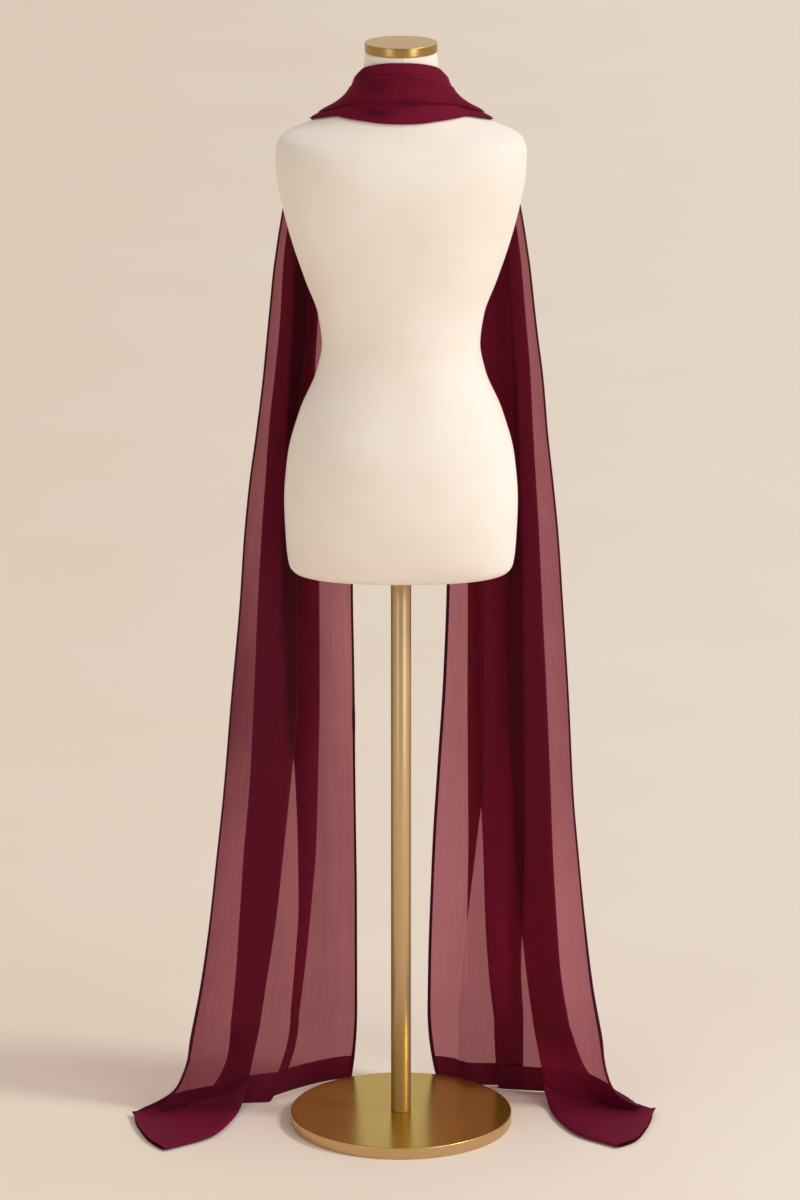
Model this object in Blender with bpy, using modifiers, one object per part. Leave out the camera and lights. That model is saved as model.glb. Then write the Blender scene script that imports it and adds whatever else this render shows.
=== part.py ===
"""A long chiffon scarf draped over a limbless dress form on a pole and a round base.

Metres, +Z up. The origin is the centre of the base's underside, on the floor. The back of the
form faces -Y: the scarf lies round the back of the neck, and both ends hang down the front.
"""
import math

import bmesh
import bpy
from mathutils import Vector

# ---- stand ----------------------------------------------------------------------------------
GAP = 0.0003                # between pieces that touch
BASE_RADIUS = 0.1665
BASE_THICKNESS = 0.018
BASE_EDGE = 0.0016          # rounded edge of the disc
POLE_RADIUS = 0.015
CAP_RADIUS = 0.0525
CAP_THICKNESS = 0.014
CAP_EDGE = 0.0015
TOTAL_HEIGHT = 1.650

# ---- form: level sections -------------------------------------------------------------------
FORM_BOTTOM = 0.860
FORM_TOP = TOTAL_HEIGHT - CAP_THICKNESS - GAP
FORM_SIDES = 40
FORM_RINGS = 34
# height, half width, depth in front, depth behind, squareness of the section
FORM_SECTIONS = (
    (0.860, 0.1500, 0.090, 0.076, 2.3),
    (0.8635, 0.1580, 0.097, 0.085, 2.3),
    (0.874, 0.1650, 0.104, 0.095, 2.3),
    (0.915, 0.1695, 0.108, 0.112, 2.3),
    (0.970, 0.1715, 0.108, 0.122, 2.3),
    (1.035, 0.1665, 0.104, 0.119, 2.3),
    (1.105, 0.1480, 0.097, 0.104, 2.25),
    (1.165, 0.1230, 0.090, 0.092, 2.2),
    (1.205, 0.1155, 0.087, 0.088, 2.2),
    (1.250, 0.1210, 0.089, 0.091, 2.2),
    (1.300, 0.1390, 0.097, 0.098, 2.2),
    (1.360, 0.1590, 0.105, 0.105, 2.25),
    (1.417, 0.1735, 0.103, 0.109, 2.3),
    (1.460, 0.1810, 0.093, 0.107, 2.35),
    (1.490, 0.1820, 0.081, 0.101, 2.35),
    (1.509, 0.1765, 0.070, 0.094, 2.3),
    (1.521, 0.1620, 0.061, 0.086, 2.2),
    (1.531, 0.1390, 0.055, 0.079, 2.1),
    (1.541, 0.1130, 0.052, 0.072, 2.05),
    (1.553, 0.0900, 0.0515, 0.066, 2.0),
    (1.568, 0.0725, 0.0530, 0.061, 2.0),
    (1.588, 0.0605, 0.0540, 0.057, 2.0),
    (1.612, 0.0545, 0.0535, 0.054, 2.0),
    (FORM_TOP, 0.0515, 0.0515, 0.0515, 2.0),
)
BUST_HEIGHT = 1.335
BUST_APART = 0.082          # from the centre line to each apex
BUST_DEPTH = 0.033
BUST_WIDTH = 0.052
BUST_RISE = 0.058
BUST_BOTTOM = BUST_HEIGHT - 2 * BUST_RISE

# ---- scarf ----------------------------------------------------------------------------------
WALL = 0.0015               # wall of the cloth
HEM_WALL = 0.0018           # wall where the end is turned up double
HEM_DEPTH = 0.034
HEM_FADE = 0.012            # height in which the wall goes from double to single
LAYER = 0.0048              # from one pressed layer to the next on the chest
FOLD_POWER = 7              # how flat the pressed layers run between their folds
FOLD_TURN = 2.5             # how quickly the cloth turns back at the toe's outer fold
FORM_CLEAR = 0.0048         # from the form to the middle of the first layer
LEAVE_ROUND = 0.016         # how gently the cloth leaves the form at its side
FLOOR_Z = GAP + HEM_WALL / 2
TOE_TOP = 0.120             # below this height the outer pleat sweeps out over the floor
TOE_ROWS = 10
TOE_HALF = 0.0030           # half the space between the toe's two layers
TOE_SPREAD = 0.5            # how far its columns are spread evenly
TOE_NOSE = 0.15             # share of a layer's width in which its fold turns over
TOE_LEVELS = 0.6            # share of the toe's rows in which it comes down to the floor
WAY_STEP = 0.02             # half the stretch of the toe from which its slope is taken
FALL_ROWS = 27
ROWS_DRAWN_UP = 1.6         # rows lie closer together on the chest than below it

# Each fall is a row of folds from the outer long edge to the inner one. A row gives the height
# at the inner edge, how far lower the outer edge is, and each fold's distance from the centre
# line. The places from back to front follow from DEPTHS.
LEFT_FALL = (
    # height, drop, (outer edge, fold a in, fold a out, fold b in, fold b out, inner edge)
    (1.500, 0.055, (0.166, 0.090, 0.156, 0.080, 0.143, 0.060)),
    (1.450, 0.045, (0.171, 0.103, 0.160, 0.088, 0.146, 0.058)),
    (1.400, 0.030, (0.176, 0.116, 0.165, 0.098, 0.150, 0.057)),
    (1.350, 0.014, (0.181, 0.126, 0.170, 0.110, 0.154, 0.058)),
    (1.290, 0.000, (0.187, 0.136, 0.174, 0.120, 0.158, 0.060)),
    (1.210, 0.000, (0.195, 0.135, 0.179, 0.123, 0.160, 0.063)),
    (1.140, 0.000, (0.202, 0.143, 0.186, 0.127, 0.165, 0.066)),
    (1.060, 0.000, (0.212, 0.153, 0.195, 0.129, 0.169, 0.069)),
    (0.980, 0.000, (0.223, 0.156, 0.201, 0.127, 0.172, 0.071)),
    (0.900, 0.000, (0.231, 0.154, 0.207, 0.125, 0.175, 0.073)),
    (0.800, 0.000, (0.238, 0.152, 0.213, 0.122, 0.178, 0.074)),
    (0.650, 0.000, (0.252, 0.153, 0.220, 0.122, 0.174, 0.072)),
    (0.500, 0.000, (0.265, 0.162, 0.228, 0.125, 0.163, 0.071)),
    (0.400, 0.000, (0.276, 0.177, 0.237, 0.128, 0.157, 0.070)),
    (0.300, 0.000, (0.287, 0.188, 0.244, 0.136, 0.156, 0.069)),
    (0.200, 0.000, (0.301, 0.203, 0.251, 0.146, 0.162, 0.069)),
    (TOE_TOP, 0.000, (0.316, 0.215, 0.259, 0.156, 0.169, 0.069)),
)
RIGHT_FALL = (
    # the same, with fold c in and fold c out before the inner edge
    (1.500, 0.055, (0.170, 0.100, 0.160, 0.088, 0.150, 0.118, 0.090, 0.060)),
    (1.450, 0.045, (0.174, 0.114, 0.163, 0.093, 0.150, 0.118, 0.091, 0.058)),
    (1.400, 0.030, (0.178, 0.132, 0.168, 0.101, 0.152, 0.118, 0.092, 0.057)),
    (1.350, 0.014, (0.184, 0.148, 0.173, 0.108, 0.155, 0.118, 0.094, 0.058)),
    (1.290, 0.000, (0.190, 0.158, 0.178, 0.113, 0.160, 0.117, 0.097, 0.060)),
    (1.210, 0.000, (0.199, 0.162, 0.185, 0.112, 0.165, 0.114, 0.100, 0.062)),
    (1.140, 0.000, (0.208, 0.165, 0.191, 0.111, 0.170, 0.111, 0.105, 0.065)),
    (1.060, 0.000, (0.215, 0.168, 0.195, 0.110, 0.174, 0.107, 0.111, 0.068)),
    (0.980, 0.000, (0.224, 0.171, 0.200, 0.110, 0.177, 0.104, 0.118, 0.071)),
    (0.900, 0.000, (0.232, 0.168, 0.205, 0.111, 0.180, 0.102, 0.122, 0.072)),
    (0.800, 0.000, (0.239, 0.157, 0.210, 0.112, 0.182, 0.100, 0.124, 0.071)),
    (0.650, 0.000, (0.249, 0.158, 0.218, 0.115, 0.184, 0.100, 0.125, 0.066)),
    (0.500, 0.000, (0.257, 0.167, 0.225, 0.119, 0.187, 0.101, 0.125, 0.057)),
    (0.400, 0.000, (0.266, 0.172, 0.229, 0.124, 0.188, 0.102, 0.116, 0.051)),
    (0.300, 0.000, (0.276, 0.180, 0.235, 0.127, 0.186, 0.101, 0.105, 0.047)),
    (0.200, 0.000, (0.288, 0.191, 0.243, 0.133, 0.183, 0.099, 0.094, 0.044)),
    (TOE_TOP, 0.000, (0.302, 0.202, 0.256, 0.142, 0.187, 0.098, 0.088, 0.043)),
)
# Share of the way from the outer edge's depth to the inner edge's, for each fold.
LEFT_DEPTHS = (0.00, 0.22, 0.42, 0.60, 0.78, 1.00)
RIGHT_DEPTHS = (0.00, 0.22, 0.37, 0.52, 0.66, 0.77, 0.87, 1.00)
# height, depth of the outer edge, depth of the inner edge, share in which the layers hang free
HANG = (
    (1.500, 0.050, 0.100, 0.0),
    (1.440, 0.048, 0.125, 0.0),
    (1.380, 0.046, 0.145, 0.2),
    (1.320, 0.045, 0.158, 0.6),
    (1.260, 0.045, 0.164, 1.0),
    (1.000, 0.044, 0.168, 1.0),
    (0.600, 0.042, 0.172, 1.0),
    (0.250, 0.040, 0.178, 1.0),
    (TOE_TOP, 0.040, 0.183, 1.0),
)
# Where each fold that hangs straight stands on the floor: distance from the centre line, depth.
LEFT_FLOOR = ((0.160, 0.112), (0.176, 0.120), (0.079, 0.185))
RIGHT_FLOOR = ((0.150, 0.122), (0.192, 0.142), (0.100, 0.154), (0.090, 0.166), (0.057, 0.190))
# The toe: pleat a comes down and lies on the floor, its inner fold in front and its back half
# under it. A row gives the share of the toe's rows, fold a in, the outer edge, and how far
# across from the one to the other fold a out lies.
LEFT_TOE = (
    (0.2, (0.228, 0.062, 0.064), (0.322, 0.038, 0.085), 0.42),
    (0.4, (0.243, 0.046, 0.022), (0.332, 0.034, 0.058), 0.48),
    (0.6, (0.257, -0.016, 0.000), (0.344, 0.028, 0.039), 0.58),
    (0.8, (0.290, -0.098, 0.000), (0.366, 0.018, 0.026), 0.72),
    (1.0, (0.352, -0.139, 0.000), (0.404, 0.014, 0.000), 0.88),
)
RIGHT_TOE = (
    (0.2, (0.213, 0.074, 0.064), (0.307, 0.039, 0.083), 0.55),
    (0.4, (0.224, 0.058, 0.022), (0.315, 0.037, 0.054), 0.60),
    (0.6, (0.237, -0.006, 0.000), (0.325, 0.031, 0.037), 0.69),
    (0.8, (0.266, -0.084, 0.000), (0.345, 0.022, 0.024), 0.79),
    (1.0, (0.327, -0.127, 0.000), (0.382, 0.026, 0.000), 0.88),
)

# The wrap round the neck, from the centre back to the front of one shoulder: the plan angles
# and heights of its lower and upper edge, and how many times its plain bulk it has there.
WRAP_ROWS_A_SIDE = 22
WRAP_DRAWN_UP = 1.25        # rows lie closer together toward the front
SEAM_GAP = 0.0009           # from the end of the wrap to the middle of the fall's first edge
WRAP_PATH = (
    # lower angle, lower height, upper angle, upper height, bulk
    (0.0, 1.5455, 0.0, 1.6285, 1.0),
    (30.0, 1.547, 28.0, 1.6255, 1.0),
    (60.0, 1.5445, 56.0, 1.617, 1.0),
    (88.0, 1.5345, 76.0, 1.609, 1.0),
    (127.0, 1.519, 97.0, 1.598, 1.1),
    (130.0, 1.490, 124.0, 1.563, 1.4),
    (113.0, 1.445, 163.5, 1.500, 2.0),
)
# Its section: share of the way up from the lower edge, and lift off the form.
WRAP_OUTSIDE = (
    (0.000, 0.0030), (0.035, 0.0048), (0.180, 0.0056), (0.345, 0.0058),
    (0.350, 0.0086), (0.400, 0.0098), (0.600, 0.0096), (0.790, 0.0086),
    (0.800, 0.0072), (0.900, 0.0068), (0.975, 0.0055), (1.000, 0.0034),
)
WRAP_INSIDE_STEPS = 9
WRAP_INSIDE = (0.965, 0.035)    # where the inside starts and ends, as a share of the way up
WRAP_CLEAR = (0.0013, 0.0048)   # inside lift off the form: at the back, at the front
CLEAR_FROM, CLEAR_OVER = 0.4, 0.3   # shares of the wrap in which the one becomes the other
SEAM_FROM = 0.86            # share of the wrap from which it runs into the fall's first row


def clear_scene():
    for obj in list(bpy.data.objects):
        bpy.data.objects.remove(obj, do_unlink=True)


def smooth_step(x):
    x = min(max(x, 0.0), 1.0)
    return x * x * (3.0 - 2.0 * x)


def slopes(xs, ys):
    """Slopes of a curve through the points that never swings past them."""
    steps = [xs[i + 1] - xs[i] for i in range(len(xs) - 1)]
    rates = [(ys[i + 1] - ys[i]) / steps[i] for i in range(len(steps))]
    result = [rates[0]]
    for i in range(1, len(rates)):
        before, after = rates[i - 1], rates[i]
        if before * after <= 0.0:
            result.append(0.0)
        else:
            a = 2.0 * steps[i] + steps[i - 1]
            b = steps[i] + 2.0 * steps[i - 1]
            result.append((a + b) / (a / before + b / after))
    result.append(rates[-1])
    return result


def hermite(p0, p1, m0, m1, s):
    return ((2 * s ** 3 - 3 * s ** 2 + 1) * p0 + (s ** 3 - 2 * s ** 2 + s) * m0
            + (3 * s ** 2 - 2 * s ** 3) * p1 + (s ** 3 - s ** 2) * m1)


def along(xs, ys, x):
    """The value at x of the smooth curve through the points, whichever way xs runs."""
    if xs[0] > xs[-1]:
        xs, ys = xs[::-1], ys[::-1]
    x = min(max(x, xs[0]), xs[-1])
    i = max(k for k in range(len(xs) - 1) if xs[k] <= x)
    m = slopes(xs, ys)
    step = xs[i + 1] - xs[i]
    return hermite(ys[i], ys[i + 1], m[i] * step, m[i + 1] * step, (x - xs[i]) / step)


def column(table, key, value, x):
    return along([row[key] for row in table], [row[value] for row in table], x)


# ---- form -----------------------------------------------------------------------------------
def form_section(z):
    return [column(FORM_SECTIONS, 0, k, z) for k in range(1, 5)]


def bust(x, z, half_width, power):
    """How far the bust stands out in front of the plain section."""
    inside = max(0.0, 1.0 - abs(x / half_width) ** power)
    across = math.exp(-((abs(x) - BUST_APART) / BUST_WIDTH) ** 2)
    upright = math.exp(-((z - BUST_HEIGHT) / BUST_RISE) ** 2)
    return BUST_DEPTH * across * upright * math.sqrt(inside)


def form_point(angle, z):
    """A point of the form's surface. The plan angle runs from the centre back, 0, by the side,
    90 degrees, to the centre front, 180 degrees; a negative angle is on the other side."""
    half_width, front, back, power = form_section(z)
    s, c = math.sin(angle), math.cos(angle)
    x = half_width * math.copysign(abs(s) ** (2 / power), s)
    if c > 0:
        return Vector((x, -back * abs(c) ** (2 / power), z))
    return Vector((x, front * abs(c) ** (2 / power) + bust(x, z, half_width, power), z))


def form_front(x, z):
    """Depth of the form's front at a place, or its middle where the form doesn't reach."""
    half_width, front, _, power = form_section(min(max(z, FORM_BOTTOM), FORM_TOP))
    inside = 1.0 - abs(x / half_width) ** power
    if inside <= 0.0:
        return 0.0
    return front * inside ** (1 / power) + bust(x, z, half_width, power)


def form_normal(angle, z):
    step = 0.002
    turn = form_point(angle + step, z) - form_point(angle - step, z)
    high, low = min(z + step, FORM_TOP), max(z - step, FORM_BOTTOM)
    rise = form_point(angle, high) - form_point(angle, low)
    return turn.cross(rise).normalized()


def draped_depth(x, z):
    """Depth of cloth that lies on the form's front, and leaves it before the form turns back."""
    lying, hanging = form_front(x, z) + FORM_CLEAR, column(HANG, 0, 1, z)
    return (lying + hanging + math.hypot(lying - hanging, LEAVE_ROUND)) / 2


# ---- scarf falls ----------------------------------------------------------------------------
def sample_shares(steps):
    """Shares of the way from one fold to the next, closer together near the folds."""
    return [(1.0 - math.cos(math.pi * k / steps)) / 2.0 for k in range(steps)]


def through_folds(values, rates, steps):
    """One coordinate along a section, from fold to fold."""
    points = []
    for i in range(len(values) - 1):
        for s in sample_shares(steps):
            points.append(hermite(values[i], values[i + 1], rates[i], rates[i + 1], s))
    return points + [values[-1]]


def place_rates(xs):
    """A coordinate that turns back at each fold and never swings past it."""
    return slopes([float(i) for i in range(len(xs))], xs)


def depth_rates(ys):
    """A coordinate in which the layers follow each other: quick at the folds, slow between."""
    inner = []
    for before, here, after in zip(ys, ys[1:], ys[2:]):
        limit = 3.0 * min(abs(here - before), abs(after - here))
        inner.append(math.copysign(min(1.5 * abs(after - before), limit), after - before))
    return [0.0] + inner + [0.0]


def pressed_lifts(count, steps):
    """Lift off the first layer along a section whose layers lie pressed on each other."""
    lifts = []
    for i in range(count - 1):
        for s in sample_shares(steps) + ([1.0] if i == count - 2 else []):
            swing = (2.0 * s - 1.0) ** FOLD_POWER
            if (i == 0 and s < 0.5) or (i == count - 2 and s > 0.5):
                swing = 0.0
            lifts.append(LAYER * (i + swing / 2.0))
    return lifts


def fall_row(table, depths, z, steps):
    """One level of a fall above the toe, as distances from the centre line, depths and heights."""
    drop = column(table, 0, 1, z)
    heights = [row[0] for row in table]
    folds = [along(heights, [row[2][k] for row in table], z) for k in range(len(depths))]
    outer, inner, free = (column(HANG, 0, k, z) for k in (1, 2, 3))
    hung = [outer + (inner - outer) * depth for depth in depths]
    xs = through_folds(folds, place_rates(folds), steps)
    hanging = through_folds(hung, depth_rates(hung), steps)
    row = []
    for x, far, lift in zip(xs, hanging, pressed_lifts(len(folds), steps)):
        level = z - drop * (x - folds[-1]) / (folds[0] - folds[-1])
        lying = draped_depth(x, level) + lift
        y = lying + (far - lying) * free
        if level > BUST_BOTTOM:
            y = max(y, lying)
        row.append(Vector((x, y, level)))
    return row


def toe_line(start, toe, place, q):
    """A point of fold a in or of the outer edge, from the last level, 0, to the end hem, 1."""
    shares = [0.0] + [row[0] for row in toe]
    path = [start] + [row[place] for row in toe]
    return Vector([along(shares, [point[c] for point in path], q) for c in range(3)])


def toe_row(last_row, floor, toe, q, steps):
    """One row between the last level and the end hem; q runs from 0 to 1."""
    edge, fold = last_row[0], last_row[steps]
    width = edge.x - fold.x
    out_start = (last_row[2 * steps].x - fold.x) / width
    out_now = along([0.0] + [row[0] for row in toe], [out_start] + [row[3] for row in toe], q)
    flat = smooth_step(q / TOE_LEVELS)
    near, far = toe_line(fold, toe, 1, q), toe_line(edge, toe, 2, q)
    ahead, behind = min(q + WAY_STEP, 1.0), max(q - WAY_STEP, 0.0)
    near_way = toe_line(fold, toe, 1, ahead) - toe_line(fold, toe, 1, behind)
    far_way = toe_line(edge, toe, 2, ahead) - toe_line(edge, toe, 2, behind)
    row = []
    for n, start in enumerate(last_row[:2 * steps + 1]):
        across = (start.x - fold.x) / width
        behind_chord = start.y - (fold.y + (edge.y - fold.y) * across)
        front = 1.0 if n <= steps else -1.0
        if n > steps:
            across *= out_now / out_start
        # spread the columns that lie bunched at the folds
        even = 1.0 - n / steps if n <= steps else out_now * (n / steps - 1.0)
        across += (even - across) * TOE_SPREAD * flat
        nose = 1.0 - min(across / TOE_NOSE, 1.0)
        lift = front * TOE_HALF * math.sqrt(1.0 - nose * nose)
        normal = near_way.lerp(far_way, across).cross(far - near).normalized()
        point = near.lerp(far, across) + normal * (lift * flat)
        point.y += behind_chord * (1.0 - flat)
        point.z = max(point.z, FLOOR_Z + (TOE_HALF + lift) * flat)
        row.append(point)
    knots = [row[2 * steps]]
    level = FLOOR_Z + (TOE_TOP - FLOOR_Z) * (1.0 - q)
    for k, (x, y) in enumerate(floor):
        start = last_row[(k + 3) * steps]
        knots.append(Vector((start.x + (x - start.x) * q * q, start.y + (y - start.y) * q, level)))
    xs, ys, zs = ([knot[c] for knot in knots] for c in range(3))
    # the cloth turns straight back round fold a out before it runs in
    turn, deep = place_rates(xs), depth_rates(ys)
    turn[0], deep[0] = 0.0, FOLD_TURN * (ys[1] - ys[0])
    rest = zip(through_folds(xs, turn, steps), through_folds(ys, deep, steps),
               through_folds(zs, place_rates(zs), steps))
    row += [Vector(point) for point in rest][1:]
    return row


def fall_rows(side, table, depths, floor, toe, steps):
    top = table[0][0]
    rows = []
    for r in range(FALL_ROWS):
        share = (r / (FALL_ROWS - 1)) ** ROWS_DRAWN_UP
        rows.append(fall_row(table, depths, top + (TOE_TOP - top) * share, steps))
    last = rows[-1]
    for r in range(1, TOE_ROWS + 1):
        rows.append(toe_row(last, floor, toe, r / TOE_ROWS, steps))
    return [[Vector((side * x, y, z)) for x, y, z in row] for row in rows]


def hem_share(z):
    """1 where the end is turned up double, 0 above."""
    return 1.0 - smooth_step((z - HEM_DEPTH) / HEM_FADE)


def cloth_wall(name, rows, finish):
    """A grid of points as an open surface, with Solidify giving the wall of the cloth."""
    bm = bmesh.new()
    grid = [[bm.verts.new(point) for point in row] for row in rows]
    for upper, lower in zip(grid[:-1], grid[1:]):
        for k in range(len(upper) - 1):
            bm.faces.new((upper[k], lower[k], lower[k + 1], upper[k + 1]))
    bm.normal_update()
    mesh = bpy.data.meshes.new(name)
    bm.to_mesh(mesh)
    bm.free()
    obj = add_object(name, mesh, finish)
    group = obj.vertex_groups.new(name="hem")
    for index, point in enumerate(point for row in rows for point in row):
        group.add([index], hem_share(point.z), "REPLACE")
    solid = obj.modifiers.new("Wall", "SOLIDIFY")
    solid.thickness = HEM_WALL
    solid.offset = 0.0
    solid.use_even_offset = False
    solid.vertex_group = "hem"
    solid.thickness_vertex_group = WALL / HEM_WALL
    mesh.shade_smooth()
    return obj


# ---- scarf wrap -----------------------------------------------------------------------------
def wrap_ring(side, share):
    """One closed section of the wrap; share runs from the centre back, 0, to the front, 1. The
    last one lies along the fall's first row."""
    steps = [k / (len(WRAP_PATH) - 1) for k in range(len(WRAP_PATH))]
    low_angle, low, high_angle, high, bulk = (
        along(steps, [row[k] for row in WRAP_PATH], share) for k in range(5))
    seam, drop, folds = (LEFT_FALL if side < 0 else RIGHT_FALL)[0]
    at_seam = smooth_step((share - SEAM_FROM) / (1.0 - SEAM_FROM))
    forward = smooth_step((share - CLEAR_FROM) / CLEAR_OVER)
    clear = WRAP_CLEAR[0] + (WRAP_CLEAR[1] - WRAP_CLEAR[0]) * forward
    section = [(t, clear + (lift - WRAP_CLEAR[0]) * bulk) for t, lift in WRAP_OUTSIDE]
    start, end = WRAP_INSIDE
    for k in range(WRAP_INSIDE_STEPS):
        section.append((start + (end - start) * k / (WRAP_INSIDE_STEPS - 1), clear))
    ring = []
    for t, lift in section:
        angle = math.radians(low_angle + (high_angle - low_angle) * t)
        z = low + (high - low) * t
        round_neck = form_point(angle, z) + form_normal(angle, z) * lift
        x = folds[0] + (folds[-1] - folds[0]) * t
        level = seam - drop * (1.0 - t)
        depth = draped_depth(x, level) + lift - FORM_CLEAR
        point = round_neck.lerp(Vector((x, depth, level + SEAM_GAP)), at_seam)
        ring.append(Vector((side * point.x, point.y, point.z)))
    return ring


def wrap_rings():
    shares = [1.0 - (1.0 - k / WRAP_ROWS_A_SIDE) ** WRAP_DRAWN_UP
              for k in range(WRAP_ROWS_A_SIDE + 1)]
    left = [wrap_ring(-1.0, share) for share in reversed(shares)]
    right = [wrap_ring(1.0, share) for share in shares[1:]]
    return left + right


def loft(name, rings, finish):
    """Closed rings joined into one body, with a flat face on each end."""
    bm = bmesh.new()
    loops = [[bm.verts.new(point) for point in ring] for ring in rings]
    count = len(rings[0])
    for near, far in zip(loops[:-1], loops[1:]):
        for k in range(count):
            n = (k + 1) % count
            bm.faces.new((near[k], near[n], far[n], far[k]))
    bm.faces.new(loops[0][::-1])
    bm.faces.new(loops[-1])
    bmesh.ops.recalc_face_normals(bm, faces=bm.faces)
    mesh = bpy.data.meshes.new(name)
    bm.to_mesh(mesh)
    bm.free()
    mesh.shade_smooth()
    mesh.set_sharp_from_angle(angle=math.radians(50))
    return add_object(name, mesh, finish)


# ---- objects --------------------------------------------------------------------------------
def finish_of(name, colour, roughness, metallic):
    material = bpy.data.materials.new(name)
    material.use_nodes = True
    shader = material.node_tree.nodes["Principled BSDF"]
    shader.inputs["Base Color"].default_value = (*colour, 1.0)
    shader.inputs["Roughness"].default_value = roughness
    shader.inputs["Metallic"].default_value = metallic
    return material


def add_object(name, mesh, finish):
    obj = bpy.data.objects.new(name, mesh)
    collection.objects.link(obj)
    mesh.materials.append(finish)
    return obj


def disc(name, radius, bottom, top, edge, sides, finish):
    """A round plate or rod from the cylinder primitive, with a rounded edge."""
    bpy.ops.mesh.primitive_cylinder_add(vertices=sides, radius=radius, depth=top - bottom,
                                        location=(0.0, 0.0, (top + bottom) / 2))
    obj = bpy.context.object
    obj.name = name
    for other in list(obj.users_collection):
        other.objects.unlink(obj)
    collection.objects.link(obj)
    obj.data.materials.append(finish)
    if edge:
        bevel = obj.modifiers.new("Edge", "BEVEL")
        bevel.width = edge
        bevel.segments = 2
        bevel.limit_method = "ANGLE"
        bevel.angle_limit = math.radians(50)
    obj.data.shade_smooth()
    obj.data.set_sharp_from_angle(angle=math.radians(40))
    return obj


def form_body(finish):
    """The padded torso and neck: rings closer together where the outline turns quickly."""
    heights = []
    total = len(FORM_SECTIONS) - 1
    for r in range(FORM_RINGS):
        place = r / (FORM_RINGS - 1) * total
        k = min(int(place), total - 1)
        low, high = FORM_SECTIONS[k][0], FORM_SECTIONS[k + 1][0]
        heights.append(low + (high - low) * (place - k))
    rings = []
    for z in heights:
        rings.append([form_point(math.tau * k / FORM_SIDES, z) for k in range(FORM_SIDES)])
    return loft("dress_form_body", rings, finish)


def build():
    cover = finish_of("cream_jersey", (0.82, 0.72, 0.60), 0.85, 0.0)
    brass = finish_of("satin_brass", (0.60, 0.40, 0.16), 0.32, 1.0)
    polished = finish_of("brass_cap", (0.66, 0.46, 0.20), 0.28, 1.0)
    tube = finish_of("brass_tube", (0.58, 0.38, 0.15), 0.30, 1.0)
    folded = finish_of("wine_chiffon_folded", (0.10, 0.008, 0.025), 0.65, 0.0)
    left_cloth = finish_of("wine_chiffon_left", (0.16, 0.02, 0.045), 0.65, 0.0)
    right_cloth = finish_of("wine_chiffon_right", (0.17, 0.022, 0.05), 0.65, 0.0)

    disc("stand_base", BASE_RADIUS, 0.0, BASE_THICKNESS, BASE_EDGE, 64, brass)
    disc("stand_pole", POLE_RADIUS, BASE_THICKNESS + GAP, FORM_BOTTOM - GAP, 0.0, 28, tube)
    disc("neck_cap", CAP_RADIUS, TOTAL_HEIGHT - CAP_THICKNESS, TOTAL_HEIGHT, CAP_EDGE, 40, polished)
    form_body(cover)
    loft("scarf_neck_wrap", wrap_rings(), folded)
    cloth_wall("scarf_left_fall",
               fall_rows(-1.0, LEFT_FALL, LEFT_DEPTHS, LEFT_FLOOR, LEFT_TOE, 6), left_cloth)
    cloth_wall("scarf_right_fall",
               fall_rows(1.0, RIGHT_FALL, RIGHT_DEPTHS, RIGHT_FLOOR, RIGHT_TOE, 6), right_cloth)


clear_scene()
collection = bpy.data.collections.new("chiffon_scarf_on_dress_form")
bpy.context.scene.collection.children.link(collection)
build()
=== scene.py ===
import math
from functools import partial

import bmesh
import bpy
import numpy as np
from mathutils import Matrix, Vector


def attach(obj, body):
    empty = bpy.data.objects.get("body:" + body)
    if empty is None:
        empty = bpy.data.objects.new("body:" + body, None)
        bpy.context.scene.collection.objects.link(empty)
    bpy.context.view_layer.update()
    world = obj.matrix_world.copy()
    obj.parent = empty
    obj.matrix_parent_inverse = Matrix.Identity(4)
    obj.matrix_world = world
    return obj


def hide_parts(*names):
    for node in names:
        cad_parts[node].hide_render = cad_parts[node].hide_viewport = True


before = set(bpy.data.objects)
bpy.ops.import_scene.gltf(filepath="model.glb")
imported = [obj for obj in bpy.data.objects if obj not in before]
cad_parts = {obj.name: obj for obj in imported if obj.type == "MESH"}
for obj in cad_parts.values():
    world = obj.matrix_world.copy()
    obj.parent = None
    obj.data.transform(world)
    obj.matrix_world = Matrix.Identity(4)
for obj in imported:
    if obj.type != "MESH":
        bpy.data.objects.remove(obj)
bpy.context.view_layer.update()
print("frame loaded:", len(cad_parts), "parts")


# small helpers

def smoothStep(x):
    x = np.clip(x, 0.0, 1.0)
    return x * x * (3.0 - 2.0 * x)


def ease(x, start, end):  # smoothly from 0 at the start to 1 at the end, whichever is higher
    return smoothStep((x - start) / (end - start))


def bell(x):
    return np.exp(-x * x)


def mix(a, b, share):
    return a + (b - a) * share


def knotSlopes(xs, ys):  # slopes of a curve that never swings past its points
    steps = np.diff(xs)
    rates = np.diff(ys) / steps
    inner = np.zeros(len(rates) - 1)
    for i in range(len(inner)):
        before, after = rates[i], rates[i + 1]
        if before * after > 0.0:
            a = 2.0 * steps[i + 1] + steps[i]
            b = steps[i + 1] + 2.0 * steps[i]
            inner[i] = (a + b) / (a / before + b / after)
    return np.concatenate(([rates[0]], inner, [rates[-1]]))


def hermite(p0, p1, m0, m1, s):
    return ((2 * s ** 3 - 3 * s ** 2 + 1) * p0 + (s ** 3 - 2 * s ** 2 + s) * m0
            + (3 * s ** 2 - 2 * s ** 3) * p1 + (s ** 3 - s ** 2) * m1)


def curveThrough(xs, ys):  # smooth curve through the points, for one value or many
    xs, ys = np.array(xs, float), np.array(ys, float)
    if xs[0] > xs[-1]:
        xs, ys = xs[::-1], ys[::-1]
    slopes = knotSlopes(xs, ys)

    def value(x):
        x = np.clip(x, xs[0], xs[-1])
        i = np.clip(np.searchsorted(xs, x, side="right") - 1, 0, len(xs) - 2)
        step = xs[i + 1] - xs[i]
        return hermite(ys[i], ys[i + 1], slopes[i] * step, slopes[i + 1] * step, (x - xs[i]) / step)
    return value


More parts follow.
